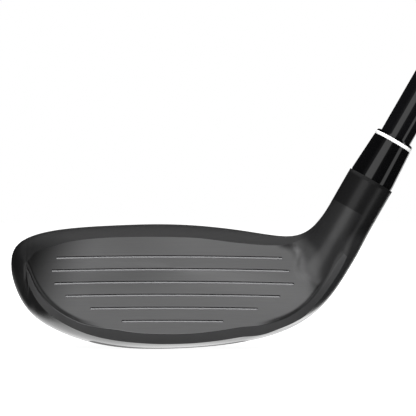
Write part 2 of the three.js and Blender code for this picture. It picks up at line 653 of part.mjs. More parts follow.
const makePortBoss = () => onPort(rod(10.2, -6, 14.5)).intersect(hull);
const makePortCut = () => onPort([
  [0, -12], [COUNTERBORE_R, -12], [COUNTERBORE_R, PORT_FLOOR],
  [SHANK_HOLE_R, PORT_FLOOR], [SHANK_HOLE_R, 13.2], [0, 13.2],
]);
function makeWeightScrew() {
  const screw = onPort([
    [0, 1.4], [5.7, 1.4], [SCREW_HEAD_R, 2.0], [SCREW_HEAD_R, SCREW_HEAD_BOTTOM],
    [SHANK_R, SCREW_HEAD_BOTTOM], [SHANK_R, 12.2], [1.9, 12.7], [0, 12.7],
  ]);
  const socket = Array.from({ length: 24 }, (_, i) => {   // six lobes
    const angle = Math.PI * 2 * i / 24;
    const radius = 2.25 + 0.42 * Math.cos(6 * angle);
    return [radius * Math.cos(angle), radius * Math.sin(angle)];
  });
  return screw.subtract(prism(socket, 3.9, portCentre, portInward));
}
const makeSealRing = () => onPort(tube(3.3, 5.2, PORT_FLOOR - 0.72, PORT_FLOOR - 0.03));

// ---- head body ------------------------------------------------------------------------
function makeHeadBody() {
  const body = hull.subtract(cavity)
    .add(makePortBoss())
    .subtract(onShaft(rod(BORE_R, BORE_BOTTOM, HOSEL_TOP + 5)))
    .subtract(faceSlab(SEAT_U, -9, FACE_T + FACE_SEAT_EXTRA, -FACE_EDGE_GAP))
    .subtract(makeCrownSeat())
    .subtract(makeCrownWindow())
    .subtract(slotPrism(0, 12, -4))
    .subtract(makePortCut())
    .subtract(belowGround);
  return largest(body);
}

// ---- pieces inside the head -------------------------------------------------------------
const GLUE_OUTLINE = [[-9, -6], [-4, -8], [5, -7.5], [9, -3], [8.5, 4], [3, 7.5], [-4, 7], [-8.5, 3]];
const insidePad = (outline, depth, x, y, z) =>
  clearCavity.intersect(prism(outline, depth, vec(x, y, z)));
const makeToePad = () => insidePad(roundedRect(9.5, 20, 3), 7, -30.5, 22, 4.0);
const makeHeelPad = () => insidePad(roundedRect(8, 9, 2.5), 8, 34.3, 16.5, 5.5);
const makeGluePad = () => insidePad(GLUE_OUTLINE, 6.5, 21, 27, 1.2);
const makeHoselPlug = () => onShaft(rod(BORE_R - 0.08, BORE_BOTTOM + 0.05, BORE_BOTTOM + 2.4));

// ---- shaft --------------------------------------------------------------------------------
const SHAFT_TIP_R = 4.70;         // 0.370 in parallel tip
const SHAFT_BUTT_R = 7.62;        // 0.600 in butt
const SHAFT_TIP = BORE_BOTTOM + 2.6;
const TAPER_START = SHAFT_TIP + 76;
const SHAFT_END = CLUB_LENGTH - 3.6;

function shaftRadius(s) {
  if (s < TAPER_START) return SHAFT_TIP_R;
  return SHAFT_TIP_R
    + (SHAFT_BUTT_R - SHAFT_TIP_R) * (s - TAPER_START) / (SHAFT_END - TAPER_START);
}
const makeEpoxy = () =>
  onShaft(tube(SHAFT_TIP_R + 0.04, BORE_R - 0.04, SHAFT_TIP, HOSEL_TOP - 0.2));
const makeShaft = () => onShaft(closed([
  [2.3, SHAFT_TIP], [SHAFT_TIP_R, SHAFT_TIP], [SHAFT_TIP_R, TAPER_START],
  [SHAFT_BUTT_R, SHAFT_END], [SHAFT_BUTT_R - 1.2, SHAFT_END], [3.3, SHAFT_TIP + 90],
]));
const makeTipWeight = () => onShaft([
  [0, SHAFT_TIP + 0.5], [2.1, SHAFT_TIP + 0.5], [2.25, SHAFT_TIP + 1.2],
  [2.25, SHAFT_TIP + 18], [0, SHAFT_TIP + 18],
]);

// ---- ferrule --------------------------------------------------------------------------------
const FERRULE_SEAT = HOSEL_TOP + 0.03;
const FERRULE_BORE_R = 4.76;
// outer profiles: radius, height above the seat
const FERRULE_BODY = [[6.35, 0], [6.55, 0.35], [6.55, 0.9], [5.85, 12.35]];
const FERRULE_RING = [[5.85, 12.38], [5.88, 12.9], [5.82, 13.42]];
const FERRULE_CAP = [[5.76, 13.45], [5.70, 13.9], [5.35, 14.15]];

function makeFerrule(outer) {
  const profile = [[FERRULE_BORE_R, outer[0][1]], ...outer, [FERRULE_BORE_R, outer.at(-1)[1]]];
  return onShaft(closed(profile.map(([radius, s]) => [radius, FERRULE_SEAT + s])));
}

// ---- grip -----------------------------------------------------------------------------------
const GRIP_START = CLUB_LENGTH - 267;
const TAPE_START = GRIP_START + 4;
const TAPE_OFFSET = 0.25;         // tape outside over the shaft radius
const TAPE_GAP = 0.03;            // tape inside over the shaft radius
const GRIP_OFFSET = TAPE_OFFSET + 0.05;
// outside, then down into the butt recess: radius, distance from the grip start
const GRIP_PROFILE = [
  [8.35, 0], [8.75, 1.2], [8.95, 20], [9.7, 90], [10.6, 160], [11.4, 215], [12.6, 245],
  [14.1, 257], [14.9, 262], [14.9, 265], [14.5, 266.2], [9.2, 266.2], [9.2, 263.6],
  [SHAFT_BUTT_R + GRIP_OFFSET, 263.6],
];
const makeTape = () => onShaft(closed([
  [shaftRadius(TAPE_START) + TAPE_GAP, TAPE_START],
  [shaftRadius(TAPE_START) + TAPE_OFFSET, TAPE_START],
  [SHAFT_BUTT_R + TAPE_OFFSET, SHAFT_END],
  [SHAFT_BUTT_R + TAPE_GAP, SHAFT_END],
]));
const makeGrip = () => onShaft(closed([
  [shaftRadius(GRIP_START) + GRIP_OFFSET, GRIP_START],
  ...GRIP_PROFILE.map(([radius, s]) => [radius, GRIP_START + s]),
  [SHAFT_BUTT_R + GRIP_OFFSET, SHAFT_END],
]));
const makeGripCap = () => onShaft(closed([
  [1.6, SHAFT_END + 0.25], [9.1, SHAFT_END + 0.25], [9.1, CLUB_LENGTH - 0.7],
  [10.8, CLUB_LENGTH - 0.7], [10.8, CLUB_LENGTH], [1.6, CLUB_LENGTH],
]));

// ---- materials --------------------------------------------------------------------------------
const material = (settings) => new THREE.MeshStandardMaterial(settings);
const darkSteel = material({ color: 0x2b2c2e, roughness: 0.35, metalness: 0.9 });
const crownPaint = material({ color: 0x1a1b1d, roughness: 0.4, metalness: 0.3 });
const faceSteel = material({ color: 0x77787a, roughness: 0.4, metalness: 1.0 });
const slotFill = material({ color: 0x222222, roughness: 0.7, metalness: 0.0 });
const padMetal = material({ color: 0x6c6e70, roughness: 0.4, metalness: 1.0 });
const glue = material({ color: 0xcabf8a, roughness: 0.6, metalness: 0.0 });
const screwSteel = material({ color: 0x8c8e90, roughness: 0.3, metalness: 1.0 });
const sealBlack = material({ color: 0x101010, roughness: 0.7, metalness: 0.0 });
const plugGrey = material({ color: 0x55585a, roughness: 0.5, metalness: 0.0 });
const epoxy = material({ color: 0x9a9a88, roughness: 0.5, metalness: 0.0 });
const glossBlack = material({ color: 0x0b0b0c, roughness: 0.15, metalness: 0.0 });
const ringWhite = material({ color: 0xf2f2f0, roughness: 0.3, metalness: 0.0 });
const brass = material({ color: 0xb89a50, roughness: 0.4, metalness: 1.0 });
const tapePaper = material({ color: 0xd8d2bc, roughness: 0.8, metalness: 0.0 });
const gripBlack = material({ color: 0x141414, roughness: 0.8, metalness: 0.0 });
const capBlack = material({ color: 0x1d1d1d, roughness: 0.6, metalness: 0.0 });

// ---- club ---------------------------------------------------------------------------------------
const club = new THREE.Group();
club.position.y = -REST_Y;
const PIECES = [
  ['head_body', makeHeadBody(), darkSteel],
  ['crown_shell', makeCrown(), crownPaint],
  ['face_plate', makeFacePlate(), faceSteel],
  ['sole_slot_insert', makeSlotInsert(), slotFill],
  ['toe_weight_pad', makeToePad(), padMetal],
  ['heel_weight_pad', makeHeelPad(), padMetal],
  ['damping_glue_pad', makeGluePad(), glue],
  ['weight_screw', makeWeightScrew(), screwSteel],
  ['weight_seal_ring', makeSealRing(), sealBlack],
  ['hosel_plug', makeHoselPlug(), plugGrey],
  ['hosel_epoxy', makeEpoxy(), epoxy],
  ['ferrule_body', makeFerrule(FERRULE_BODY), glossBlack],
  ['ferrule_ring', makeFerrule(FERRULE_RING), ringWhite],
  ['ferrule_cap', makeFerrule(FERRULE_CAP), glossBlack],
  ['shaft', makeShaft(), glossBlack],
  ['tip_weight', makeTipWeight(), brass],
  ['grip_tape', makeTape(), tapePaper],
  ['grip', makeGrip(), gripBlack],
  ['grip_cap', makeGripCap(), capBlack],
];
for (const [name, piece, finish] of PIECES) {
  const mesh = new THREE.Mesh(geometry(piece), finish);
  mesh.name = name;
  club.add(mesh);
}

export default club;
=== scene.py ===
# Hybrid golf club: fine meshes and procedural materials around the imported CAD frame.
import json
import math
import bpy
import bmesh
import numpy as np
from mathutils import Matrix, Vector
from mathutils.bvhtree import BVHTree


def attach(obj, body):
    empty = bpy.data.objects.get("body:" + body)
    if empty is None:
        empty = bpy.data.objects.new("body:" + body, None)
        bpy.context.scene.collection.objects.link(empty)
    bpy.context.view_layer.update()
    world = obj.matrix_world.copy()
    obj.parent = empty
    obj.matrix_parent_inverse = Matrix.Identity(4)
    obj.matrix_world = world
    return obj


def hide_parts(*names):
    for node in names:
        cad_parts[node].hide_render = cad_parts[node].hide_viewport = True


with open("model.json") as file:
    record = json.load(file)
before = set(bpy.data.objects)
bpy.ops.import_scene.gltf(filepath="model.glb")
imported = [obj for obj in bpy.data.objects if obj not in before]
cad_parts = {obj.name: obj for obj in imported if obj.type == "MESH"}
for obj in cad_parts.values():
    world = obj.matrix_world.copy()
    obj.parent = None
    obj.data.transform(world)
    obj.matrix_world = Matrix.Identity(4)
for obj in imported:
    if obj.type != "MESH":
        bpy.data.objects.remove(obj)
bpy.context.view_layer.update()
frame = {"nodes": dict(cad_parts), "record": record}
SCENE = bpy.context.scene
MM = 0.001

# ---- dimensions shared with the CAD (millimetres) -------------------------------
LOFT = math.radians(22)
LIE = math.radians(60)
CLUB_LENGTH = 1016.0
AXIS_X, AXIS_Y = 33.33, 7.0
REST_Y = 12.5
HOSEL_TOP, HOSEL_R = 56.5, 6.95
BORE_R, BORE_BOTTOM = 4.95, 28.6
TIP = BORE_BOTTOM + 2.6
SHAFT_TIP_R, SHAFT_BUTT_R, SHAFT_PARALLEL = 4.70, 7.62, 76.0
SHAFT_END = CLUB_LENGTH - 3.6
LEAD_EDGE_Y, LEAD_EDGE_Z = -6.0, 4.7
BULGE_R, ROLL_R = 400.0, 400.0
FACE_T, WALL_T, CROWN_T = 2.4, 1.9, 0.9
SOLE_LAND = 0.10
HEEL_FADE, HEEL_FILLET, HEEL_MELT = 38.0, 8.0, 0.025
GROOVE_PITCH, GROOVE_W, GROOVE_D = 3.94, 0.75, 0.35
GRIP_LENGTH, TAPE = 267.0, 0.25
U_END, U_TOE, U_HEEL = 127.63, 11.85, 96.5
RIBS = np.array([
    [0.00, -43.083, 24.618, -43.083, 24.618, 0.630, 0.630, 0.630],
    [1.60, -43.012, 26.141, -43.012, 22.881, 0.630, 0.630, 0.630],
    [2.64, -42.849, 27.066, -42.849, 21.723, 0.630, 0.630, 0.630],
    [3.90, -42.542, 28.080, -42.535, 20.290, 0.630, 0.630, 0.630],
    [5.52, -41.960, 29.216, -41.938, 18.333, 0.630, 0.630, 0.630],
    [7.17, -41.212, 30.169, -41.169, 16.345, 0.630, 0.630, 0.630],
    [8.77, -40.312, 30.959, -40.248, 14.470, 0.630, 0.630, 0.630],
    [11.00, -38.828, 31.870, -38.738, 12.138, 0.630, 0.630, 0.630],
    [11.85, -38.220, 32.190, -38.120, 11.350, 0.630, 0.630, 0.630],
    [12.30, -37.878, 32.340, -37.773, 10.949, 0.675, 0.578, 0.394],
    [12.98, -37.339, 32.549, -37.227, 10.367, 0.704, 0.544, 0.354],
    [15.33, -35.392, 33.218, -35.257, 8.618, 0.795, 0.396, 0.250],
    [17.93, -33.080, 33.805, -32.923, 7.031, 0.823, 0.301, 0.186],
    [21.04, -30.145, 34.363, -29.973, 5.465, 0.845, 0.235, 0.141],
    [25.23, -26.066, 34.890, -25.889, 3.745, 0.876, 0.189, 0.111],
    [31.15, -20.151, 35.387, -19.981, 1.925, 0.895, 0.163, 0.084],
    [38.39, -12.855, 35.772, -12.704, 0.573, 0.903, 0.164, 0.070],
    [45.59, -5.586, 36.037, -5.472, 0.030, 0.902, 0.147, 0.062],
    [52.78, 1.725, 36.098, 1.860, 0.014, 0.900, 0.139, 0.054],
    [59.97, 9.120, 35.844, 9.069, 0.308, 0.900, 0.136, 0.052],
    [67.17, 16.509, 35.237, 16.305, 0.871, 0.898, 0.144, 0.056],
    [74.41, 23.626, 34.371, 23.795, 1.884, 0.898, 0.156, 0.062],
    [80.26, 28.870, 33.580, 30.201, 3.260, 0.900, 0.143, 0.045],
    [85.62, 33.139, 32.966, 36.382, 5.274, 0.906, 0.145, 0.054],
    [90.36, 36.487, 32.675, 41.846, 7.993, 0.912, 0.164, 0.054],
    [94.92, 39.365, 32.839, 46.768, 11.771, 0.921, 0.204, 0.096],
    [99.33, 41.858, 33.574, 50.916, 16.516, 0.927, 0.248, 0.125],
    [103.83, 44.175, 34.991, 54.432, 21.867, 0.921, 0.292, 0.144],
    [106.30, 45.362, 36.082, 56.135, 24.729, 0.916, 0.276, 0.168],
    [108.77, 46.524, 37.393, 57.690, 27.510, 0.909, 0.320, 0.195],
    [113.47, 48.720, 40.440, 60.330, 32.610, 0.877, 0.430, 0.230],
    [117.60, 50.570, 43.610, 62.600, 36.720, 0.860, 0.440, 0.240],
    [127.63, 55.594, 52.376, 67.626, 45.430, 0.850, 0.450, 0.250],
])
REAR = np.array([
    [0.00, 13.00, 13.00, 13.00, 0.500, 2.00, 2.00],
    [1.60, 13.00, 13.00, 18.20, 0.500, 2.00, 2.00],
    [2.64, 13.00, 13.00, 21.20, 0.490, 2.00, 2.00],
    [3.90, 13.10, 13.00, 24.40, 0.480, 2.00, 2.00],
    [5.52, 13.20, 12.90, 28.00, 0.470, 2.00, 2.00],
    [7.17, 13.40, 12.80, 31.00, 0.460, 2.00, 2.00],
    [8.77, 13.60, 12.70, 33.50, 0.450, 2.00, 2.00],
    [11.00, 13.90, 12.60, 36.40, 0.440, 2.00, 2.00],
    [15.33, 14.40, 12.30, 40.70, 0.420, 2.00, 2.05],
    [21.04, 15.00, 12.00, 44.80, 0.410, 1.95, 2.10],
    [31.15, 15.60, 11.80, 48.60, 0.395, 1.90, 2.20],
    [42.00, 16.00, 11.60, 50.10, 0.390, 1.90, 2.20],
    [52.78, 16.00, 11.50, 50.00, 0.390, 1.90, 2.20],
    [59.97, 15.80, 11.30, 49.00, 0.390, 1.90, 2.20],
    [67.17, 15.20, 11.00, 46.80, 0.400, 1.90, 2.20],
    [74.41, 14.00, 10.40, 43.20, 0.410, 1.90, 2.20],
    [80.26, 12.70, 9.80, 39.10, 0.420, 1.92, 2.15],
    [85.62, 11.20, 9.10, 33.90, 0.430, 1.95, 2.10],
    [90.36, 9.90, 9.00, 28.60, 0.450, 2.00, 2.05],
    [94.92, 8.80, 8.90, 23.40, 0.470, 2.00, 2.00],
    [99.33, 7.90, 8.70, 19.30, 0.485, 2.00, 2.00],
    [103.83, 7.30, 8.10, 16.40, 0.495, 2.00, 2.00],
    [108.77, 7.05, 7.20, 14.75, 0.500, 2.00, 2.00],
    [113.47, 7.00, 7.00, 14.12, 0.500, 2.00, 2.00],
    [117.60, 7.00, 7.00, 13.95, 0.500, 2.00, 2.00],
    [127.63, 7.00, 7.00, 13.95, 0.500, 2.00, 2.00],
])


# ---- curves -------------------------------------------------------------------
def spline(xs, ys):
    n = len(xs)
    a, r = np.zeros((n, n)), np.zeros(n)
    a[0, 0] = a[-1, -1] = 1
    for i in range(1, n - 1):
        h0, h1 = xs[i] - xs[i - 1], xs[i + 1] - xs[i]
        a[i, i - 1], a[i, i], a[i, i + 1] = h0, 2 * (h0 + h1), h1
        r[i] = 6 * ((ys[i + 1] - ys[i]) / h1 - (ys[i] - ys[i - 1]) / h0)
    m = np.linalg.solve(a, r)

    def f(x):
        x = np.asarray(x, float)
        i = np.clip(np.searchsorted(xs, x, side="right") - 1, 0, n - 2)
        h = xs[i + 1] - xs[i]
        p, q = (xs[i + 1] - x) / h, (x - xs[i]) / h
        return p * ys[i] + q * ys[i + 1] + ((p**3 - p) * m[i] + (q**3 - q) * m[i + 1]) * h * h / 6
    return f


def pchip(xs, ys):
    n = len(xs)
    h = np.diff(xs)
    dl = np.diff(ys) / h
    m = np.zeros(n)
    for i in range(1, n - 1):
        if dl[i - 1] * dl[i] > 0:
            w1, w2 = 2 * h[i] + h[i - 1], h[i] + 2 * h[i - 1]
            m[i] = (w1 + w2) / (w1 / dl[i - 1] + w2 / dl[i])
    m[0], m[-1] = dl[0], dl[-1]

    def f(x):
        x = np.asarray(x, float)
        i = np.clip(np.searchsorted(xs, x, side="right") - 1, 0, n - 2)
        t = (x - xs[i]) / h[i]
        t2, t3 = t * t, t * t * t
        return ((2 * t3 - 3 * t2 + 1) * ys[i] + (t3 - 2 * t2 + t) * h[i] * m[i]
                + (3 * t2 - 2 * t3) * ys[i + 1] + (t3 - t2) * h[i] * m[i + 1])
    return f


fTx, fTz, fBx, fBz = (spline(RIBS[:, 0], RIBS[:, k]) for k in (1, 2, 3, 4))
fFt, fFb, fFc = (pchip(RIBS[:, 0], RIBS[:, k]) for k in (5, 6, 7))
fYa, fYl, fYe, fFe, fPc, fPs = (pchip(REAR[:, 0], REAR[:, k]) for k in range(1, 7))


def smooth(a, b, x):
    t = np.clip((np.asarray(x, float) - a) / (b - a), 0, 1)
    return t * t * (3 - 2 * t)


# ---- head surface, the same one the CAD uses ------------------------------------
def face_y(x, z):
    return (LEAD_EDGE_Y + (z - LEAD_EDGE_Z) * math.tan(LOFT) + (x - 2) ** 2 / (2 * BULGE_R)
            + (z - 18.5) ** 2 / (2 * ROLL_R))


def column_y(x, z):
    s = (x - AXIS_X) * math.cos(LIE) + z * math.sin(LIE)
    side = (x - AXIS_X) * math.sin(LIE) - z * math.cos(LIE)
    d = np.abs(side)
    lim = 0.94 * HOSEL_R
    k = lim / math.sqrt(HOSEL_R**2 - lim**2)
    y = np.where(d < lim, AXIS_Y - np.sqrt(np.maximum(HOSEL_R**2 - d * d, 0)),
                 AXIS_Y - math.sqrt(HOSEL_R**2 - lim**2) + (d - lim) * k)
    fade = np.maximum(HEEL_FADE - s, 0)
    return y + fade * fade * HEEL_MELT


def smin(a, b, k):
    h = np.maximum(k - np.abs(a - b), 0) / k
    return np.minimum(a, b) - h * h * k / 4


class Rib:
    def __init__(self, u):
        u = np.atleast_1d(np.asarray(u, float))[:, None]
        self.u = u
        self.tx, self.tz, self.bx = fTx(u), fTz(u), fBx(u)
        self.bz = fBz(u) - SOLE_LAND * (1 - smooth(85, 100, u))
        toe = u <= U_TOE
        self.ft, self.fb, self.fc = (np.where(toe, 0.63, f(u)) for f in (fFt, fFb, fFc))
        self.ft = self.ft - 0.011 * smooth(62, 74, u) * (1 - smooth(88, 96, u))
        self.ya, self.yl, self.ye, self.fe, self.pc, self.ps = (f(u) for f in (fYa, fYl, fYe, fFe, fPc, fPs))
        self.h = np.hypot(self.tx - self.bx, self.tz - self.bz)
        xi = np.clip((-38.2 - self.tx) / 4.88, 0, 1)
        self.base = (13 - face_y(-43, 24.6)) * (1 - np.sqrt(1 - xi * xi))
        self.n = np.where(toe, 2.0, 1 + smooth(20, U_TOE, u))
        self.w = smooth(105.5, 117, u)
        # width of the eased edge between face and chamfer: wide at toe and heel, crisp in the middle
        self.kr = (0.12 + 0.55 * (1 - smooth(18, 34, u)) + 0.55 * smooth(80, 92, u)) * smooth(U_TOE - 0.01, U_TOE + 1.5, u) + 1e-6

    def at(self, f):
        return self.bx + (self.tx - self.bx) * f, self.bz + (self.tz - self.bz) * f

    def yf(self, f):
        x, z = self.at(f)
        return face_y(x, z) + self.base


def chamfer_slope(u):
    return (1.1 - 0.35 * smooth(86, 100, u)) * (0.45 + 0.55 * smooth(10, 30, u))


def smax(a, b, k):
    h = np.maximum(k - np.abs(a - b), 0) / k
    return np.maximum(a, b) + h * h * k / 4


def front(r, seg, t):
    t = np.atleast_1d(np.asarray(t, float))[None, :]
    on = smooth(58, 66, r.u)

    def skin_y(q, y=None):
        x, z = r.at(q)
        y = r.yf(q) if y is None else y
        return y + (smin(y, column_y(x, z), HEEL_FILLET) - y) * on

    yb = skin_y(r.fb)

    def ground(q):
        """The face and hosel blend with the leading edge ground off below r.fb, the edge eased a little."""
        s = skin_y(q)
        c = smax(s, yb + chamfer_slope(r.u) * (r.fb - q) * r.h, r.kr)
        return s + (c - s) * (1 - smooth(105.5, 107, r.u))

    if seg == 0:
        k = 1 - t
        e = np.power(1 - (1 - k) ** 2, 1 / r.n)
        yc = ground(r.fc)
        f, g = r.fc * (1 - e), t * 4 / 13
        y = yc + (r.yl - yc) * k
    elif seg == 1:
        f, g = r.fc + (r.fb - r.fc) * t, (4 + t) / 13
        y = ground(f)
    elif seg == 2:
        f, g = r.fb + (r.ft - r.fb) * t, (5 + 5 * t) / 13
        y = ground(f)
    else:
        e = np.power(1 - (1 - t) ** 2, 1 / r.n)
        f, g = r.ft + (1 - r.ft) * e, (10 + 3 * t) / 13
        q = r.yf(f) + (r.ya - r.yf(np.ones_like(t))) * t
        y = q + (skin_y(f, q) - q) * (1 - t**4)
    f = (1 - r.w) * f + r.w * (1 - np.cos(np.pi * g)) / 2
    x, z = r.at(f)
    y = y + 0 * f
    c = 2 * f - 1
    y = (1 - r.w) * y + r.w * (AXIS_Y - HOSEL_R * np.sqrt(np.maximum(0, 1 - c * c)))
    return np.stack([x, y, z], -1)


def rear(r, crown, phi):
    phi = np.atleast_1d(np.asarray(phi, float))[None, :]
    p = r.pc if crown else r.ps
    c = np.power(np.maximum(np.cos(phi), 0), 2 / p)
    s = np.power(np.maximum(np.sin(phi), 0), 2 / p)
    f = r.fe + (1 - r.fe) * c if crown else r.fe * (1 - c)
    y0 = r.ya if crown else r.yl
    x, z = r.at(f)
    return np.stack([x, y0 + (r.ye - y0) * s, z], -1)


# ---- mesh helpers ---------------------------------------------------------------
def make(name, verts, faces, link=True, tags=None, vals=None):
    """Mesh object from millimetre vertices in the CAD drawing frame, welded."""
    v = np.asarray(verts, float).reshape(-1, 3)
    key = np.round(v * 1e5).astype(np.int64)
    _, first, inv = np.unique(key, axis=0, return_index=True, return_inverse=True)
    inv = np.asarray(inv).reshape(-1)
    pts = v[first] + np.array([0, -REST_Y, 0])
    out, kept = [], []
    for fi, f in enumerate(faces):
        q = []
        for k in f:
            w = int(inv[k])
            if not q or (q[-1] != w):
                q.append(w)
        if len(q) > 1 and q[0] == q[-1]:
            q.pop()
        if len(q) > 2 and len(set(q)) == len(q):
            out.append(q)
            kept.append(tags[fi] if tags else 0)
    me = bpy.data.meshes.new(name)
    me.from_pydata((pts * MM).tolist(), [], out)
    if vals is not None:
        me.attributes.new("edge", "FLOAT", "POINT").data.foreach_set("value", np.asarray(vals, float)[first])
    if tags:
        me.attributes.new("seg", "INT", "FACE").data.foreach_set("value", kept)
    me.validate(clean_customdata=False)
    ob = bpy.data.objects.new(name, me)
    if link:
        SCENE.collection.objects.link(ob)
    return ob


def recalc(ob):
    bm = bmesh.new()
    bm.from_mesh(ob.data)
    bmesh.ops.recalc_face_normals(bm, faces=bm.faces)
    if bm.calc_volume(signed=True) < 0:
        bmesh.ops.reverse_faces(bm, faces=bm.faces)
    bm.to_mesh(ob.data)
    bm.free()
    return ob


def slab(name, outer, inner):
    """Two matching grids (ni, nj, 3) joined round their edges into one closed shell."""
    ni, nj = outer.shape[:2]
    v = np.concatenate([outer.reshape(-1, 3), inner.reshape(-1, 3)])
    n = ni * nj
    o = lambda i, j: i * nj + j
    q = lambda i, j: n + i * nj + j
    f = []
    for i in range(ni - 1):
        for j in range(nj - 1):
            f.append((o(i, j), o(i + 1, j), o(i + 1, j + 1), o(i, j + 1)))
            f.append((q(i, j), q(i, j + 1), q(i + 1, j + 1), q(i + 1, j)))
        f.append((o(i, 0), q(i, 0), q(i + 1, 0), o(i + 1, 0)))
        f.append((o(i, nj - 1), o(i + 1, nj - 1), q(i + 1, nj - 1), q(i, nj - 1)))
    for j in range(nj - 1):
        f.append((o(0, j), o(0, j + 1), q(0, j + 1), q(0, j)))
        f.append((o(ni - 1, j), q(ni - 1, j), q(ni - 1, j + 1), o(ni - 1, j + 1)))
    return recalc(make(name, v, f))


def loft(name, rings, tag=None, vals=None):
    """Closed rings (ni, nj, 3) joined in order and fanned shut at both ends."""
    ni, nj = rings.shape[:2]
    v = list(rings.reshape(-1, 3))
    e = list(vals.reshape(-1)) if vals is not None else None
    f, g = [], []
    for i in range(ni - 1):
        for j in range(nj):
            k = (j + 1) % nj
            f.append((i * nj + j, (i + 1) * nj + j, (i + 1) * nj + k, i * nj + k))
            g.append(tag(i, j) if tag else 0)
    for ring in (0, ni - 1):
        c = len(v)
        v.append(rings[ring].mean(0))
        if e is not None:
            e.append(99.0)
        for j in range(nj):
            f.append((ring * nj + j, c, ring * nj + (j + 1) % nj))
            g.append(0)
    return recalc(make(name, np.array(v), f, tags=g if tag else None, vals=e))


SHAFT_DIR = np.array([math.cos(LIE), 0, math.sin(LIE)])
AXIS_O = np.array([AXIS_X, AXIS_Y, 0.0])


def basis(d):
    d = np.asarray(d, float) / np.linalg.norm(d)
    a = np.array([0, 1.0, 0]) if abs(d[1]) < 0.9 else np.array([1.0, 0, 0])
    e1 = np.cross(a, d)
    e1 /= np.linalg.norm(e1)
    return e1, np.cross(d, e1), d


def rounded(profile, closed=True, r=0.15, n=3):
    """Rounds the corners of a (radius, along) outline; points on the axis stay sharp."""
    out, m = [], len(profile)
    for i, p in enumerate(profile):
        rr = p[2] if len(p) > 2 else r
        a, b = profile[i - 1], profile[(i + 1) % m]
        if rr <= 0 or p[0] <= 1e-9 or (not closed and i in (0, m - 1)):
            out.append((p[0], p[1]))
            continue
        P, A, B = (np.array(q[:2], float) for q in (p, a, b))
        la, lb = np.linalg.norm(A - P), np.linalg.norm(B - P)
        if la < 1e-9 or lb < 1e-9:
            out.append((p[0], p[1]))
            continue
        k = min(rr, la * 0.45, lb * 0.45)
        s, e = P + (A - P) / la * k, P + (B - P) / lb * k
        for j in range(n + 1):
            t = j / n
            q = (1 - t) ** 2 * s + 2 * t * (1 - t) * P + t * t * e
            out.append((q[0], q[1]))
    return out


def lathe(name, profile, origin=AXIS_O, d=SHAFT_DIR, n=96, warp=None, closed=True):
    """Turned solid; the outline is closed on itself, or starts and ends on the axis."""
    e1, e2, e3 = basis(d)
    m = len(profile)
    v = []
    for k in range(n):
        a = 2 * math.pi * k / n
        c, s = math.cos(a), math.sin(a)
        for r, z in profile:
            if warp is not None:
                r = warp(r, z, a)
            v.append(origin + e1 * r * c + e2 * r * s + e3 * z)
    f = []
    last = m if closed else m - 1
    for k in range(n):
        k2 = (k + 1) % n
        for j in range(last):
            j2 = (j + 1) % m
            f.append((k * m + j, k2 * m + j, k2 * m + j2, k * m + j2))
    return recalc(make(name, np.array(v), f))


def on_axis(profile):
    return profile


def prism(name, outline, origin, xdir, normal, depth):
    z = np.asarray(normal, float) / np.linalg.norm(normal)
    x = np.asarray(xdir, float)
    x = x - z * x.dot(z)
    x /= np.linalg.norm(x)
    y = np.cross(z, x)
    o = np.asarray(origin, float)
    n = len(outline)
    v = [o + x * a + y * b for a, b in outline] + [o + x * a + y * b + z * depth for a, b in outline]
    f = [tuple(range(n))[::-1], tuple(range(n, 2 * n))]
    f += [(i, (i + 1) % n, n + (i + 1) % n, n + i) for i in range(n)]
    return recalc(make(name, np.array(v), f))


def capsule(x0, x1, w, n=16):
    r = w / 2
    p = []
    for i in range(n + 1):
        a = -math.pi / 2 + math.pi * i / n
        p.append((x1 - r + r * math.cos(a), r * math.sin(a)))
    for i in range(n + 1):
        a = math.pi / 2 + math.pi * i / n
        p.append((x0 + r + r * math.cos(a), r * math.sin(a)))
    return p


def cut(ob, tool, op="DIFFERENCE", keep=False):
    mod = ob.modifiers.new("cut", "BOOLEAN")
    mod.operation = op
    mod.object = tool
    try:
        mod.solver = "MANIFOLD"
    except TypeError:
        mod.solver = "EXACT"
    dg = bpy.context.evaluated_depsgraph_get()
    me = bpy.data.meshes.new_from_object(ob.evaluated_get(dg), preserve_all_data_layers=False, depsgraph=dg)
    ob.modifiers.remove(mod)
    old = ob.data
    ob.data = me
    me.name = ob.name
    bpy.data.meshes.remove(old)
    if not keep:
        bpy.data.objects.remove(tool)
    return ob


def shade(ob, angle=30):
    me = ob.data
    me.polygons.foreach_set("use_smooth", [True] * len(me.polygons))
    me.set_sharp_from_angle(angle=math.radians(angle))
    me.update()
    return ob


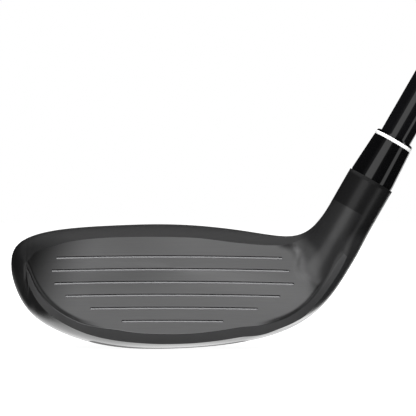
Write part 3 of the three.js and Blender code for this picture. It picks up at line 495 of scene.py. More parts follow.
class Skin:
    """The uncut surface, so that cut pieces keep its smooth normals and know their finish region."""
    def __init__(self, ob):
        me = ob.data.copy()
        me.polygons.foreach_set("use_smooth", [True] * len(me.polygons))
        seg = np.empty(len(me.polygons), np.int32)
        me.attributes["seg"].data.foreach_get("value", seg)
        share = {}
        for p in me.polygons:
            for k in p.edge_keys:
                share.setdefault(k, []).append(seg[p.index])
        hard = {(0, 1), (1, 0), (2, 3), (3, 2)}
        sharp = [len(s) == 2 and (int(s[0]) % 10, int(s[1]) % 10) in hard and max(s) < 10
                 for s in (share.get(tuple(sorted(e.vertices)), ()) for e in me.edges)]
        me.attributes.new("sharp_edge", "BOOLEAN", "EDGE").data.foreach_set("value", sharp)
        me.update()
        me.calc_loop_triangles()
        self.co = np.empty(len(me.vertices) * 3)
        me.vertices.foreach_get("co", self.co)
        self.co = self.co.reshape(-1, 3)
        self.val = np.empty(len(me.vertices))
        me.attributes["edge"].data.foreach_get("value", self.val)
        nl = len(me.loops)
        cn = np.empty(nl * 3)
        me.corner_normals.foreach_get("vector", cn)
        cn = cn.reshape(-1, 3)
        nt = len(me.loop_triangles)
        tv, tl, tp = np.empty(nt * 3, np.int32), np.empty(nt * 3, np.int32), np.empty(nt, np.int32)
        me.loop_triangles.foreach_get("vertices", tv)
        me.loop_triangles.foreach_get("loops", tl)
        me.loop_triangles.foreach_get("polygon_index", tp)
        self.tv, self.tn, self.seg = tv.reshape(-1, 3), cn[tl].reshape(-1, 3, 3), seg[tp] % 10
        self.tree = BVHTree.FromPolygons(self.co.tolist(), self.tv.tolist())

    def dress(self, ob, angle=30, near=3e-5, facing=0.75):
        me = ob.data
        shade(ob, angle)
        nl = len(me.loops)
        nrm = np.empty(nl * 3)
        me.corner_normals.foreach_get("vector", nrm)
        nrm = nrm.reshape(-1, 3)
        fin = np.zeros((nl, 4), np.float32)
        fin[:, 3] = 1
        edge = np.full(nl, 99.0)
        co = np.empty(len(me.vertices) * 3)
        me.vertices.foreach_get("co", co)
        co = co.reshape(-1, 3)
        lv = np.empty(nl, np.int32)
        me.loops.foreach_get("vertex_index", lv)
        off = []
        for p in me.polygons:
            c = p.center
            hit, n, idx, dist = self.tree.find_nearest(c)
            if idx is None or dist > near or abs(n.dot(p.normal)) < facing:
                off.append((p.index, dist if idx is not None else 1.0))
                continue
            t, tn = self.co[self.tv[idx]], self.tn[idx]
            e0, e1 = t[1] - t[0], t[2] - t[0]
            d00, d01, d11 = e0 @ e0, e0 @ e1, e1 @ e1
            den = d00 * d11 - d01 * d01
            if den < 1e-30:
                continue
            ls = list(range(p.loop_start, p.loop_start + p.loop_total))
            s = int(self.seg[idx])
            if 1 <= s <= 3:
                fin[ls, {1: 0, 3: 1, 2: 2}[s]] = 1.0
            w = co[lv[ls]] - t[0]
            d20, d21 = w @ e0, w @ e1
            b = (d11 * d20 - d01 * d21) / den
            g = (d00 * d21 - d01 * d20) / den
            b, g = np.clip(b, -0.5, 1.5), np.clip(g, -0.5, 1.5)
            m = (1 - b - g)[:, None] * tn[0] + b[:, None] * tn[1] + g[:, None] * tn[2]
            m /= np.maximum(np.linalg.norm(m, axis=1), 1e-12)[:, None]
            nrm[ls] = m
            q = self.val[self.tv[idx]]
            edge[ls] = (1 - b - g) * q[0] + b * q[1] + g * q[2]
        if "edge" in me.attributes:
            me.attributes.remove(me.attributes["edge"])
        me.attributes.new("edge", "FLOAT", "CORNER").data.foreach_set("value", edge)
        me.normals_split_custom_set(nrm.tolist())
        me.attributes.new("finish", "FLOAT_COLOR", "CORNER").data.foreach_set("color", fin.reshape(-1))
        self.off = off
        return ob


# ---- materials --------------------------------------------------------------------
COAT, GROUND_C, TOP_C = 0.0065, 0.058, 0.018
FACE_V, FACE_R, BRUSH_AMP = 0.43, 0.42, 0.20
# spans of the painted shade on the face steel: towards the toe, and towards the hosel
TOE_SHADE_SPAN, HEEL_SHADE_SPAN = (-0.0395, -0.0185), (0.0380, 0.0432)


class Nodes:
    def __init__(self, name):
        self.mat = bpy.data.materials.new(name)
        self.mat.use_nodes = True
        self.t = self.mat.node_tree
        self.bsdf = next(n for n in self.t.nodes if n.type == "BSDF_PRINCIPLED")
        self.coord = self.add("ShaderNodeTexCoord").outputs["Object"]

    def add(self, kind, **settings):
        n = self.t.nodes.new(kind)
        for k, v in settings.items():
            setattr(n, k, v)
        return n

    def wire(self, a, b):
        self.t.links.new(a, b)

    def put(self, socket, value):
        if hasattr(value, "links"):
            self.wire(value, socket)
        else:
            socket.default_value = value

    def math(self, op, a, b=None, c=None, clamp=False):
        n = self.add("ShaderNodeMath", operation=op, use_clamp=clamp)
        self.put(n.inputs[0], a)
        if b is not None:
            self.put(n.inputs[1], b)
        if c is not None:
            self.put(n.inputs[2], c)
        return n.outputs[0]

    def step(self, v, a, b, lo=0.0, hi=1.0):
        n = self.add("ShaderNodeMapRange", interpolation_type="SMOOTHSTEP")
        self.put(n.inputs["Value"], v)
        for k, x in (("From Min", a), ("From Max", b), ("To Min", lo), ("To Max", hi)):
            self.put(n.inputs[k], x)
        return n.outputs["Result"]

    def xyz(self, v=None):
        n = self.add("ShaderNodeSeparateXYZ")
        self.wire(v if v is not None else self.coord, n.inputs[0])
        return n.outputs[0], n.outputs[1], n.outputs[2]

    def scaled(self, s, v=None, rot=(0, 0, 0)):
        n = self.add("ShaderNodeMapping")
        n.inputs["Scale"].default_value = s
        n.inputs["Rotation"].default_value = rot
        self.wire(v if v is not None else self.coord, n.inputs["Vector"])
        return n.outputs[0]

    def noise(self, scale, detail=3.0, rough=0.5, v=None):
        n = self.add("ShaderNodeTexNoise")
        self.wire(v if v is not None else self.coord, n.inputs["Vector"])
        n.inputs["Scale"].default_value = scale
        n.inputs["Detail"].default_value = detail
        n.inputs["Roughness"].default_value = rough
        return n.outputs[0]

    def mix(self, fac, a, b):
        n = self.add("ShaderNodeMix", data_type="RGBA")
        self.put(n.inputs[0], fac)
        self.put(n.inputs[6], a)
        self.put(n.inputs[7], b)
        return n.outputs[2]

    def lerp(self, fac, a, b):
        n = self.add("ShaderNodeMix", data_type="FLOAT")
        self.put(n.inputs[0], fac)
        self.put(n.inputs[2], a)
        self.put(n.inputs[3], b)
        return n.outputs[0]

    def bump(self, h, strength, distance, normal=None):
        n = self.add("ShaderNodeBump")
        n.inputs["Strength"].default_value = strength
        n.inputs["Distance"].default_value = distance
        self.wire(h, n.inputs["Height"])
        if normal is not None:
            self.wire(normal, n.inputs["Normal"])
        return n.outputs[0]

    def set(self, **kw):
        names = {"color": "Base Color", "rough": "Roughness", "metal": "Metallic", "spec": "Specular IOR Level",
                 "coat": "Coat Weight", "coat_rough": "Coat Roughness", "aniso": "Anisotropic", "normal": "Normal",
                 "sheen": "Sheen Weight", "ior": "IOR", "coat_ior": "Coat IOR", "tangent": "Tangent", "sss": "Subsurface Weight"}
        for k, v in kw.items():
            s = self.bsdf.inputs[names[k]]
            if k == "color" and not hasattr(v, "links") and len(v) == 3:
                v = (*v, 1)
            self.put(s, v)
        return self.mat


def head_finish(name):
    """Satin black coat, ground edge, topline satin and brushed face steel, told apart by the finish layer."""
    n = Nodes(name)
    x, y, z = n.xyz()
    nx, ny, nz = n.xyz(n.add("ShaderNodeNewGeometry").outputs["Normal"])
    layer = n.add("ShaderNodeAttribute", attribute_name="finish").outputs["Color"]
    sep = n.add("ShaderNodeSeparateColor")
    n.wire(layer, sep.inputs[0])
    ground, top, face = sep.outputs
    s = n.math("ADD", n.math("MULTIPLY", n.math("SUBTRACT", x, AXIS_X * MM), 0.5), n.math("MULTIPLY", z, 0.8660254))
    grain = n.noise(1100, 4, 0.6)
    cloud = n.noise(38, 3, 0.5)
    toe = n.step(x, -0.0370, -0.0200)
    top = n.math("MULTIPLY", top, n.math("MULTIPLY", toe, n.step(x, 0.0440, 0.0385)))
    # brushed steel: fine level scratches, fading into the coat at the toe and under the hosel, where its brightness
    # is also darkened as painted shade
    brush = n.noise(1.0, 6, 0.72, n.scaled((55, 900, 4600)))
    fine = n.noise(1.0, 4, 0.6, n.scaled((240, 2500, 14000)))
    streak = n.math("ADD", n.math("MULTIPLY", n.math("SUBTRACT", brush, 0.5), 0.55),
                    n.math("MULTIPLY", n.math("SUBTRACT", fine, 0.5), 0.45))
    # painted shade: the face steel is darkened towards the toe, down to 5 %
    toe_steel_shade = n.step(n.math("MULTIPLY_ADD", n.math("SUBTRACT", z, 0.0248), -0.35, x), TOE_SHADE_SPAN[0], TOE_SHADE_SPAN[1])
    q = n.math("MULTIPLY_ADD", n.math("SUBTRACT", z, 0.0248), 0.27, x)
    q = n.math("ADD", q, n.math("MULTIPLY", n.math("MAXIMUM", n.math("SUBTRACT", z, 0.0280), 0.0), 0.35))
    high_z = n.step(z, 0.0165, 0.0240)
    shift = n.math("ADD", n.step(z, 0.0225, 0.0270), n.step(z, 0.0235, 0.0185))
    # painted shade: the face steel is darkened towards the hosel
    heel_steel_shade = n.lerp(n.step(n.math("MULTIPLY_ADD", shift, -0.0021, q), HEEL_SHADE_SPAN[0], HEEL_SHADE_SPAN[1]), 1.0, 0.22)
    steel = n.math("MULTIPLY", n.step(n.math("MULTIPLY_ADD", high_z, 0.0039, q), 0.0478, 0.0440), n.step(x, -0.0415, -0.0360))
    qb = n.math("MULTIPLY_ADD", high_z, 0.0025, n.math("MULTIPLY_ADD", n.step(z, 0.0225, 0.0260), -0.0010, q))
    qb = n.math("MULTIPLY_ADD", n.step(z, 0.0228, 0.0203), 0.0012, qb)
    # painted light: a lighter grey strip on the coat where the face steel ends near the hosel, lighter low down,
    # standing in for the light on the face-to-hosel blend
    heel_blend_light = n.math("MULTIPLY", n.step(q, 0.0400, 0.0425), n.step(qb, 0.0497, 0.0463))
    heel_blend_light = n.math("MULTIPLY", n.math("MULTIPLY", heel_blend_light, n.step(z, 0.0125, 0.0175)), n.math("MULTIPLY", n.step(z, 0.0335, 0.0288), face))
    # painted shade: deeper darkening of the face steel in the upper heel corner
    heel_steel_shade = n.math("MULTIPLY", heel_steel_shade, n.lerp(n.math("MULTIPLY", n.step(z, 0.0283, 0.0302), n.step(q, 0.0355, 0.0385)), 1.0, 0.36))
    # painted shade: at toe and heel the eased edge under the face takes the black coat colour and the face steel
    # there is darkened, standing in for the shade in the rounded edge
    edge = n.add("ShaderNodeAttribute", attribute_name="edge").outputs["Fac"]
    edge = n.math("SUBTRACT", edge, n.math("MULTIPLY", n.step(x, -0.0100, -0.0200), 0.45))
    # painted shade: the strip of face steel just above the eased edge at the toe is darkened by half
    toe_sliver_shade = n.math("MULTIPLY", n.step(x, -0.0100, -0.0200), n.step(edge, 0.15, -0.20))
    ends = n.math("MAXIMUM", n.step(x, -0.0150, -0.0270), n.step(x, 0.0270, 0.0360))
    line = n.math("MULTIPLY", ends, n.math("MULTIPLY", n.step(edge, -0.32, -0.04), n.step(edge, 1.35, 0.40)))
    bare = n.math("SUBTRACT", 1.0, line)
    heel_blend_light = n.math("MULTIPLY", heel_blend_light, bare)
    face = n.math("MULTIPLY", face, n.math("MULTIPLY", steel, n.step(bare, 0.0, 0.22)))
    ground = n.math("MULTIPLY", ground, bare)
    v = n.math("MULTIPLY_ADD", streak, BRUSH_AMP, FACE_V)
    v = n.math("ADD", v, n.math("MULTIPLY", n.math("SUBTRACT", cloud, 0.5), 0.04))
    v = n.math("MULTIPLY", v, n.lerp(toe_steel_shade, 0.05, 1.0))
    # painted shade: the face steel is dimmed a little everywhere and more on the upper toe side
    upper_toe_shade = n.math("MULTIPLY", n.step(x, 0.0120, -0.0100), n.step(z, 0.0145, 0.0225))
    v = n.math("MULTIPLY", v, n.lerp(upper_toe_shade, 0.95, 0.75))
    v = n.math("MULTIPLY", v, n.math("MULTIPLY", heel_steel_shade, n.lerp(bare, 0.06, 1.0)))
    # painted shade: small darker patches on the face steel near the heel; one of them dims a bright ridge highlight
    heel_knee_shade = n.math("MULTIPLY", n.step(z, 0.0250, 0.0280), n.step(q, 0.0385, 0.0405))
    heel_dip_shade = n.math("MULTIPLY", n.step(q, 0.0385, 0.0405), n.math("MULTIPLY", n.step(z, 0.0175, 0.0195), n.step(z, 0.0300, 0.0275)))
    ridge_spot_shade = n.math("MULTIPLY", n.math("MULTIPLY", n.step(q, 0.0378, 0.0389), n.step(q, 0.0406, 0.0395)),
                  n.math("MULTIPLY", n.step(z, 0.0272, 0.0288), n.step(z, 0.0318, 0.0302)))
    v = n.math("MULTIPLY", v, n.math("MULTIPLY", n.lerp(heel_dip_shade, 1.0, 0.90), n.lerp(ridge_spot_shade, 1.0, 0.82)))
    v = n.math("MULTIPLY", v, n.math("MULTIPLY", n.lerp(toe_sliver_shade, 1.0, 0.5), n.lerp(heel_knee_shade, 1.0, 0.80)))
    comb = n.add("ShaderNodeCombineColor")
    for k, g in enumerate((1.0, 1.0, 1.01)):
        n.wire(n.math("MULTIPLY", v, g), comb.inputs[k])
    # below the casting line, on the front-left of the hosel, the coat colour is lifted as a painted highlight for the
    # brighter, broader streak there, and the coat is a little rougher
    side = n.math("SUBTRACT", n.math("MULTIPLY", n.math("SUBTRACT", x, AXIS_X * MM), 0.8660254), n.math("MULTIPLY", z, 0.5))
    neck_sheen_and_finish = n.math("MULTIPLY", n.math("MULTIPLY", n.step(s, 0.0464, 0.0460), n.step(z, 0.0290, 0.0330)), n.step(side, 0.0030, 0.0005))
    # painted light and shade: the coat is lighter low on the heel and low on the toe; the ground edge is lighter at
    # the low toe and darker at the low heel
    low_heel_painted_light_shade = n.math("MULTIPLY", n.step(x, 0.0390, 0.0430), n.step(z, 0.0350, 0.0305))
    low_toe_painted_light = n.math("MULTIPLY", n.step(x, -0.0270, -0.0320), n.step(z, 0.0240, 0.0200))
    c0 = n.mix(n.math("MULTIPLY", cloud, 0.5), (COAT, COAT, COAT * 1.03, 1), (COAT * 1.7, COAT * 1.7, COAT * 1.75, 1))
    c0 = n.mix(neck_sheen_and_finish, c0, (COAT * 2.4, COAT * 2.4, COAT * 2.45, 1))
    c0 = n.mix(low_heel_painted_light_shade, c0, (0.020, 0.020, 0.0205, 1))
    c0 = n.mix(low_toe_painted_light, c0, (0.012, 0.012, 0.0122, 1))
    # the painted-light grey strip on the heel blend
    c0 = n.mix(heel_blend_light, c0, n.mix(n.step(z, 0.0165, 0.0200), (0.068, 0.068, 0.069, 1), (0.048, 0.048, 0.0486, 1)))
    edge_c = n.mix(low_heel_painted_light_shade, n.mix(low_toe_painted_light, (GROUND_C, GROUND_C, GROUND_C * 1.02, 1), (GROUND_C * 1.3, GROUND_C * 1.3, GROUND_C * 1.32, 1)), (GROUND_C * 0.85, GROUND_C * 0.85, GROUND_C * 0.87, 1))
    c0 = n.mix(ground, c0, edge_c)
    c0 = n.mix(top, c0, (TOP_C, TOP_C, TOP_C * 1.02, 1))
    col = n.mix(face, c0, comb.outputs[0])
    sole = n.step(nz, -0.58, -0.76)
    r = n.lerp(neck_sheen_and_finish, 0.30, 0.34)
    r = n.lerp(ground, r, 0.34)
    r = n.lerp(top, r, 0.40)
    r = n.lerp(n.math("MULTIPLY", sole, n.math("SUBTRACT", 1.0, ground)), r, 0.13)
    r = n.math("ADD", r, n.math("MULTIPLY", n.math("SUBTRACT", grain, 0.5), 0.06))
    rf = n.math("MULTIPLY_ADD", streak, 0.22, FACE_R)
    rough = n.lerp(face, r, rf)
    hosel = n.step(z, 0.0280, 0.0340)
    spec = n.lerp(hosel, 0.52, n.lerp(neck_sheen_and_finish, 0.30, 0.62))
    high_toe = n.math("MULTIPLY", n.step(x, -0.0240, -0.0340), n.step(z, 0.0235, 0.0275))
    spec = n.lerp(high_toe, spec, 0.24)
    h = n.math("ADD", n.math("MULTIPLY", grain, n.math("SUBTRACT", 1.0, face)), n.math("MULTIPLY", brush, face))
    return n.set(color=col, rough=rough, metal=face, spec=spec, aniso=n.math("MULTIPLY", face, 0.45),
                 normal=n.bump(h, 0.06, 0.00004))


# light grey colour on the floors of the score-line grooves
def groove_floor_grey():
    n = Nodes("score_line")
    g = n.noise(1800, 3, 0.6)
    col = n.mix(g, (0.20, 0.20, 0.206, 1), (0.26, 0.26, 0.266, 1))
    return n.set(color=col, rough=0.45, spec=0.5, normal=n.bump(g, 0.1, 0.00002))


def plastic(name, color, rough=0.1, coat=0.0, bump=0.02, scale=700.0):
    n = Nodes(name)
    g = n.noise(scale, 3, 0.6)
    s = n.noise(40.0, 3, 0.6)
    c2 = tuple(min(1, c * 1.25 + 0.001) for c in color)
    col = n.mix(n.math("MULTIPLY", s, 0.5), (*color, 1), (*c2, 1))
    r = n.math("ADD", rough, n.math("MULTIPLY", n.math("SUBTRACT", s, 0.5), 0.05), clamp=True)
    return n.set(color=col, rough=r, spec=0.5, coat=coat, coat_rough=0.05,
                 normal=n.bump(g, bump, 0.00003))


def ferrule_gloss(name, color):
    """Buffed gloss black whose highlight runs straight along the shaft line in spite of the taper."""
    n = Nodes(name)
    x, y, z = n.xyz()
    px, py = n.math("SUBTRACT", x, AXIS_X * MM), n.math("SUBTRACT", y, (AXIS_Y - REST_Y) * MM)
    s = n.math("ADD", n.math("MULTIPLY", px, math.cos(LIE)), n.math("MULTIPLY", z, math.sin(LIE)))
    comb = n.add("ShaderNodeCombineXYZ")
    n.wire(n.math("SUBTRACT", px, n.math("MULTIPLY", s, math.cos(LIE))), comb.inputs[0])
    n.wire(py, comb.inputs[1])
    n.wire(n.math("SUBTRACT", z, n.math("MULTIPLY", s, math.sin(LIE))), comb.inputs[2])
    unit = n.add("ShaderNodeVectorMath", operation="NORMALIZE")
    n.wire(comb.outputs[0], unit.inputs[0])
    cloud = n.noise(40.0, 3, 0.6)
    col = n.mix(n.math("MULTIPLY", cloud, 0.5), (*color, 1), (*(c * 1.6 for c in color), 1))
    r = n.math("ADD", 0.05, n.math("MULTIPLY", n.math("SUBTRACT", cloud, 0.5), 0.04), clamp=True)
    return n.set(color=col, rough=r, spec=0.5, normal=unit.outputs[0])


def metal(name, color, rough=0.3, turned=True, scale=2500.0):
    n = Nodes(name)
    g = n.noise(scale, 4, 0.65)
    s = n.noise(90, 3, 0.5)
    c2 = tuple(c * 0.7 for c in color)
    col = n.mix(n.math("MULTIPLY", s, 0.6), (*color, 1), (*c2, 1))
    r = n.math("ADD", rough, n.math("MULTIPLY", n.math("SUBTRACT", g, 0.5), 0.15), clamp=True)
    return n.set(color=col, rough=r, metal=1.0, normal=n.bump(g, 0.05, 0.00003))


def crown_paint():
    n = Nodes("crown_paint")
    g = n.noise(2600, 3, 0.6)
    s = n.noise(30, 3, 0.5)
    col = n.mix(n.math("MULTIPLY", s, 0.5), (0.019, 0.019, 0.020, 1), (0.026, 0.026, 0.027, 1))
    r = n.math("ADD", 0.40, n.math("MULTIPLY", n.math("SUBTRACT", g, 0.5), 0.10), clamp=True)
    return n.set(color=col, rough=r, spec=0.5, coat=0.0, normal=n.bump(g, 0.05, 0.00002))


def grip_rubber():
    n = Nodes("grip_rubber")
    g = n.noise(1500, 4, 0.7)
    s = n.noise(18, 3, 0.5)
    col = n.mix(n.math("MULTIPLY", s, 0.6), (0.018, 0.018, 0.019, 1), (0.030, 0.030, 0.031, 1))
    r = n.math("ADD", 0.72, n.math("MULTIPLY", n.math("SUBTRACT", g, 0.5), 0.25), clamp=True)
    return n.set(color=col, rough=r, spec=0.4, sheen=0.1, normal=n.bump(g, 0.35, 0.0001))


def woven_tape():
    n = Nodes("tape")
    w = n.add("ShaderNodeTexWave", wave_type="BANDS", bands_direction="Z")
    n.wire(n.coord, w.inputs["Vector"])
    w.inputs["Scale"].default_value = 400
    g = n.noise(300, 3, 0.6)
    col = n.mix(g, (0.62, 0.58, 0.47, 1), (0.74, 0.70, 0.60, 1))
    return n.set(color=col, rough=0.85, normal=n.bump(w.outputs[1], 0.3, 0.0001))


MATS = {
    "dark_steel": head_finish("dark_steel"), "face_steel": head_finish("face_steel"), "crown_paint": crown_paint(),
    "ferrule_black": ferrule_gloss("ferrule_black", (0.0018, 0.0018, 0.0020)),
    "ferrule_white": plastic("ferrule_white", (0.86, 0.86, 0.85), 0.25),
    "shaft_paint": plastic("shaft_paint", (0.003, 0.003, 0.0035), 0.06),
    "slot_polymer": plastic("slot_polymer", (0.012, 0.012, 0.013), 0.55, bump=0.2, scale=2200),
    "seal_rubber": plastic("seal_rubber", (0.012, 0.012, 0.012), 0.6, bump=0.2, scale=2200),
    "plug_plastic": plastic("plug_plastic", (0.16, 0.16, 0.16), 0.5),
    "epoxy": plastic("epoxy", (0.48, 0.46, 0.38), 0.35),
    "hot_melt": plastic("hot_melt", (0.60, 0.52, 0.28), 0.3, bump=0.3, scale=200),
    "grip_cap_plastic": plastic("grip_cap_plastic", (0.020, 0.020, 0.021), 0.5, bump=0.15, scale=2000),
    "tungsten": metal("tungsten", (0.36, 0.36, 0.37), 0.4),
    "screw_steel": metal("screw_steel", (0.42, 0.42, 0.43), 0.28),
    "brass": metal("brass", (0.60, 0.43, 0.17), 0.3),
    "grip_rubber": grip_rubber(), "tape": woven_tape(),
}
SLOT = {s["node"]: s["material_slot"] for s in frame["record"]["subparts"]}
BODY = {n: b for b, ns in frame["record"]["behaviour"]["bodies"].items() for n in ns}


def finish_piece(ob, node, mat=None):
    """Gives a piece its finish, puts it on the right body and stands it in for its CAD node."""
    ob.data.materials.clear()
    ob.data.materials.append(mat or MATS[SLOT[node]])
    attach(ob, BODY[node])
    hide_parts(node)
    return ob


# ---- head --------------------------------------------------------------------------
def steps(a, b, d):
    return np.linspace(a, b, max(2, int(round((b - a) / d)) + 1))


U = np.unique(np.round(np.concatenate([
    [0, 0.12, 0.3, 0.55, 0.85], steps(1.2, U_TOE, 0.4), steps(U_TOE, 17, 0.35), steps(17, 85, 0.6),
    steps(85, U_HEEL, 0.4), steps(U_HEEL, 118, 0.4), steps(118, U_END, 1.2)]), 5))
CROWN_U = (17.0, 87.5)
CROWN_PHI = (0.14, 1.06)
PHI = np.unique(np.round(np.concatenate([np.linspace(0, CROWN_PHI[0], 6), np.linspace(*CROWN_PHI, 36),
                                         np.linspace(CROWN_PHI[1], math.pi / 2, 20)]), 6))
PHI_S = np.linspace(0, math.pi / 2, 48)


T_CH = np.array([0, 0.04, 0.15, 0.3, 0.45, 0.58, 0.68, 0.76, 0.83, 0.89, 0.94, 0.975, 1.0])
T_FACE = np.concatenate([[0, 0.004, 0.009, 0.015, 0.022, 0.030, 0.040, 0.052], np.linspace(0.07, 1, 42)])


def head_rings(us):
    r = Rib(us)
    parts = [front(r, 0, np.linspace(0, 1, 19)[:-1]), front(r, 1, T_CH[:-1]),
             front(r, 2, T_FACE[:-1]), front(r, 3, np.linspace(0, 1, 23)[:-1]),
             rear(r, True, PHI), rear(r, False, PHI_S)[:, 1:-1][:, ::-1]]
    return np.concatenate(parts, 1)


SEG_OF = np.concatenate([np.full(18, 0), np.full(len(T_CH) - 1, 1), np.full(len(T_FACE) - 1, 2), np.full(22, 3),
                         np.full(len(PHI) + len(PHI_S), 4)])
SEG_OF[len(SEG_OF) - len(PHI) - len(PHI_S) - 1] = 3


def seg_tag(i, j):
    """Finish region of a hull facet; ten is added where its borders stay smooth."""
    s = int(SEG_OF[j]) if j < len(SEG_OF) else 4
    u = (U[i] + U[i + 1]) / 2
    if u < U_TOE:
        return 10 + (3 if s == 3 else 0)
    if u > 107 or (u > 106.3 and s == 1):
        return 10 + (0 if s == 1 else s)
    return s


RINGS = head_rings(U)
ru_ = Rib(U)
EDGE = np.hypot(RINGS[..., 0] - ru_.bx, RINGS[..., 2] - ru_.bz) - ru_.fb * ru_.h
EDGE = EDGE * (0.45 + 0.55 * smooth(10, 30, U)[:, None]) / (1 + 0.5 * smooth(88, 102, U)[:, None])
EDGE[:, len(SEG_OF) - len(PHI) - len(PHI_S):] = 99.0
hull = loft("hull", RINGS, seg_tag, EDGE)
skin = Skin(hull)


def face_grid(us, ts, dy, edge=0.0):
    r = Rib(us)
    g = front(r, 2, ts)
    if edge:
        lo, hi = g[:, :1].copy(), g[:, -1:].copy()
        d = (hi - lo) / np.maximum(np.linalg.norm(hi - lo, axis=-1, keepdims=True), 1e-9)
        g[:, :1] -= d * edge
        g[:, -1:] += d * edge
    g = g.copy()
    g[..., 1] += dy
    return g


FU = U[(U >= U_TOE - 1e-6) & (U <= U_HEEL + 1e-6)]
FT_ = T_FACE
plate = slab("face_plate_skin", face_grid(FU, FT_, 0), face_grid(FU, FT_, FACE_T))
seat = slab("face_seat", face_grid(FU, FT_, -9), face_grid(FU, FT_, FACE_T + 0.35))

# score lines: bars with sloping walls, level with the sole and square to the loft
UP = np.array([0, math.sin(LOFT), math.cos(LOFT)])
FN = np.array([0, -math.cos(LOFT), math.sin(LOFT)])
SCORE = [(-29.5, 35.9), (-30.75, 37.9), (-29.9, 39.2), (-26.6, 35.2), (-19.4, 28.7), (-10.35, 18.8)]
SCORE_TOP_Z = 26.9


def face_point(x, v):
    """Point of the face at x and height v measured up the loft line."""
    z = v
    for _ in range(6):
        y = float(smin(face_y(x, z), column_y(x, z), HEEL_FILLET)) if x > 22 else float(face_y(x, z))
        flat = LEAD_EDGE_Y + (z - LEAD_EDGE_Z) * math.tan(LOFT)
        z = v - (y - flat) * math.sin(LOFT) * math.cos(LOFT)
    return np.array([x, y, z])


for k, (x0, x1) in enumerate(SCORE):
    v = SCORE_TOP_Z - k * GROOVE_PITCH * math.cos(LOFT)
    r = GROOVE_W / 2
    ends = [(0.0, 0.12), (0.06, 0.34), (0.15, 0.53), (0.3, 0.71), (0.5, 0.866), (0.75, 0.97), (1.0, 1.0)]
    st = [(x0 + a * r, w) for a, w in ends] + [(x, 1.0) for x in np.linspace(x0 + r, x1 - r, 60)[1:-1]]
    st += [(x1 - a * r, w) for a, w in ends[::-1]]
    top, bottom = [], []
    for x, w in st:
        p = face_point(x, v)
        top.append([p + UP * s * w * r * 1.0 + FN * 0.02 for s in (-1, -0.5, 0, 0.5, 1)])
        depth = GROOVE_D * (0.25 + 0.75 * w)
        bottom.append([p + UP * s * w * r * 0.50 - FN * depth * (1 - 0.08 * abs(s)) for s in (-1, -0.5, 0, 0.5, 1)])
    cut(plate, slab("groove", np.array(top), np.array(bottom)))


def crown_grid(us, phis, off):
    r = Rib(us)
    p = rear(r, True, phis)
    a, b = rear(r, True, np.minimum(phis + 0.02, math.pi / 2)), rear(r, True, np.maximum(phis - 0.02, 0))
    q, w = rear(Rib(us + 0.3), True, phis), rear(Rib(us - 0.3), True, phis)
    n = np.cross(a - b, q - w)
    n /= np.linalg.norm(n, axis=-1, keepdims=True)
    n *= np.where(n[..., 2:] < 0, -1, 1)
    return p + n * off


CU = U[(U >= CROWN_U[0] - 1e-6)]
CU = np.unique(np.concatenate([CU[CU < CROWN_U[1]], [CROWN_U[1]]]))
CP = PHI[(PHI >= CROWN_PHI[0] - 1e-6) & (PHI <= CROWN_PHI[1] + 1e-6)]
crown = slab("crown_panel", crown_grid(CU, CP, 0), crown_grid(CU, CP, -CROWN_T))
crown_seat = slab("crown_seat", crown_grid(CU, CP, 3), crown_grid(CU, CP, -CROWN_T))
window = slab("crown_window", crown_grid(steps(21, 82.5, 3), np.linspace(0.27, 0.94, 12), 1),
              crown_grid(steps(21, 82.5, 3), np.linspace(0.27, 0.94, 12), -5.5))


def inset(us, wall, face, sole):
    out = []
    for u in us:
        r = Rib(u)
        h = float(r.h[0, 0])
        lo, hi = max(sole / h, 0.04), 1 - wall / h
        fs = np.linspace(lo, hi, 13)
        ft, fb, fc, n = (float(q[0, 0]) for q in (r.ft, r.fb, r.fc, r.n))
        ya, yl, ye, fe = (float(q[0, 0]) for q in (r.ya, r.yl, r.ye, r.fe))
        pc, ps = float(r.pc[0, 0]), float(r.ps[0, 0])
        yf = lambda f: float(r.yf(np.array([[f]]))[0, 0])
        pts = []
        yc = yf(fb) + float(chamfer_slope(u)) * (fb - fc) * h
        ye2 = ye - wall - 0.4
        for i, f in enumerate(fs):
            if f > ft:
                y = yf(f) + (ya - yf(1)) * (1 - math.sqrt(max(0, 1 - ((f - ft) / (1 - ft)) ** n)))
            elif f >= fb:
                y = yf(f)
            elif f >= fc:
                y = yf(fb) + float(chamfer_slope(u)) * (fb - f) * h
            else:
                y = yc + (yl - yc) * (1 - math.sqrt(max(0, 1 - ((fc - f) / fc) ** n)))
            xx, zz = r.at(np.array([[f]]))
            pts.append([float(xx[0, 0]), min(y + face, ye2 - 4 + i * 0.01), float(zz[0, 0])])
        yt, yb = pts[-1][1], pts[0][1]
        for i in range(1, 13):
            ph = math.pi / 2 * i / 12
            xx, zz = r.at(np.array([[fe + (hi - fe) * max(math.cos(ph), 0) ** (2 / pc)]]))
            pts.append([float(xx[0, 0]), yt + (ye2 - yt) * math.sin(ph) ** (2 / pc), float(zz[0, 0])])
        for i in range(11, 0, -1):
            ph = math.pi / 2 * i / 12
            xx, zz = r.at(np.array([[fe - (fe - lo) * max(math.cos(ph), 0) ** (2 / ps)]]))
            pts.append([float(xx[0, 0]), yb + (ye2 - yb) * math.sin(ph) ** (2 / ps), float(zz[0, 0])])
        out.append(pts)
    return np.array(out)


cavity = loft("cavity", inset([14.5, 17, 20, 25, 32, 42, 52, 62, 71, 78, 83, 87, 90.5], WALL_T, FACE_T + 0.15, WALL_T + 0.3))

# rear weight port, on the sole's inward normal
PORT_PHI = 1.12
pr = Rib(50.0)
PORT_AT = rear(pr, False, PORT_PHI)[0, 0]
pa = rear(pr, False, PORT_PHI + 0.01)[0, 0] - rear(pr, False, PORT_PHI - 0.01)[0, 0]
PORT_DIR = np.array([0, -pa[2], pa[1]])
PORT_DIR /= np.linalg.norm(PORT_DIR)
if PORT_DIR[2] < 0:
    PORT_DIR = -PORT_DIR
PORT_HEAD_R, PORT_FLOOR = 6.6, 6.0

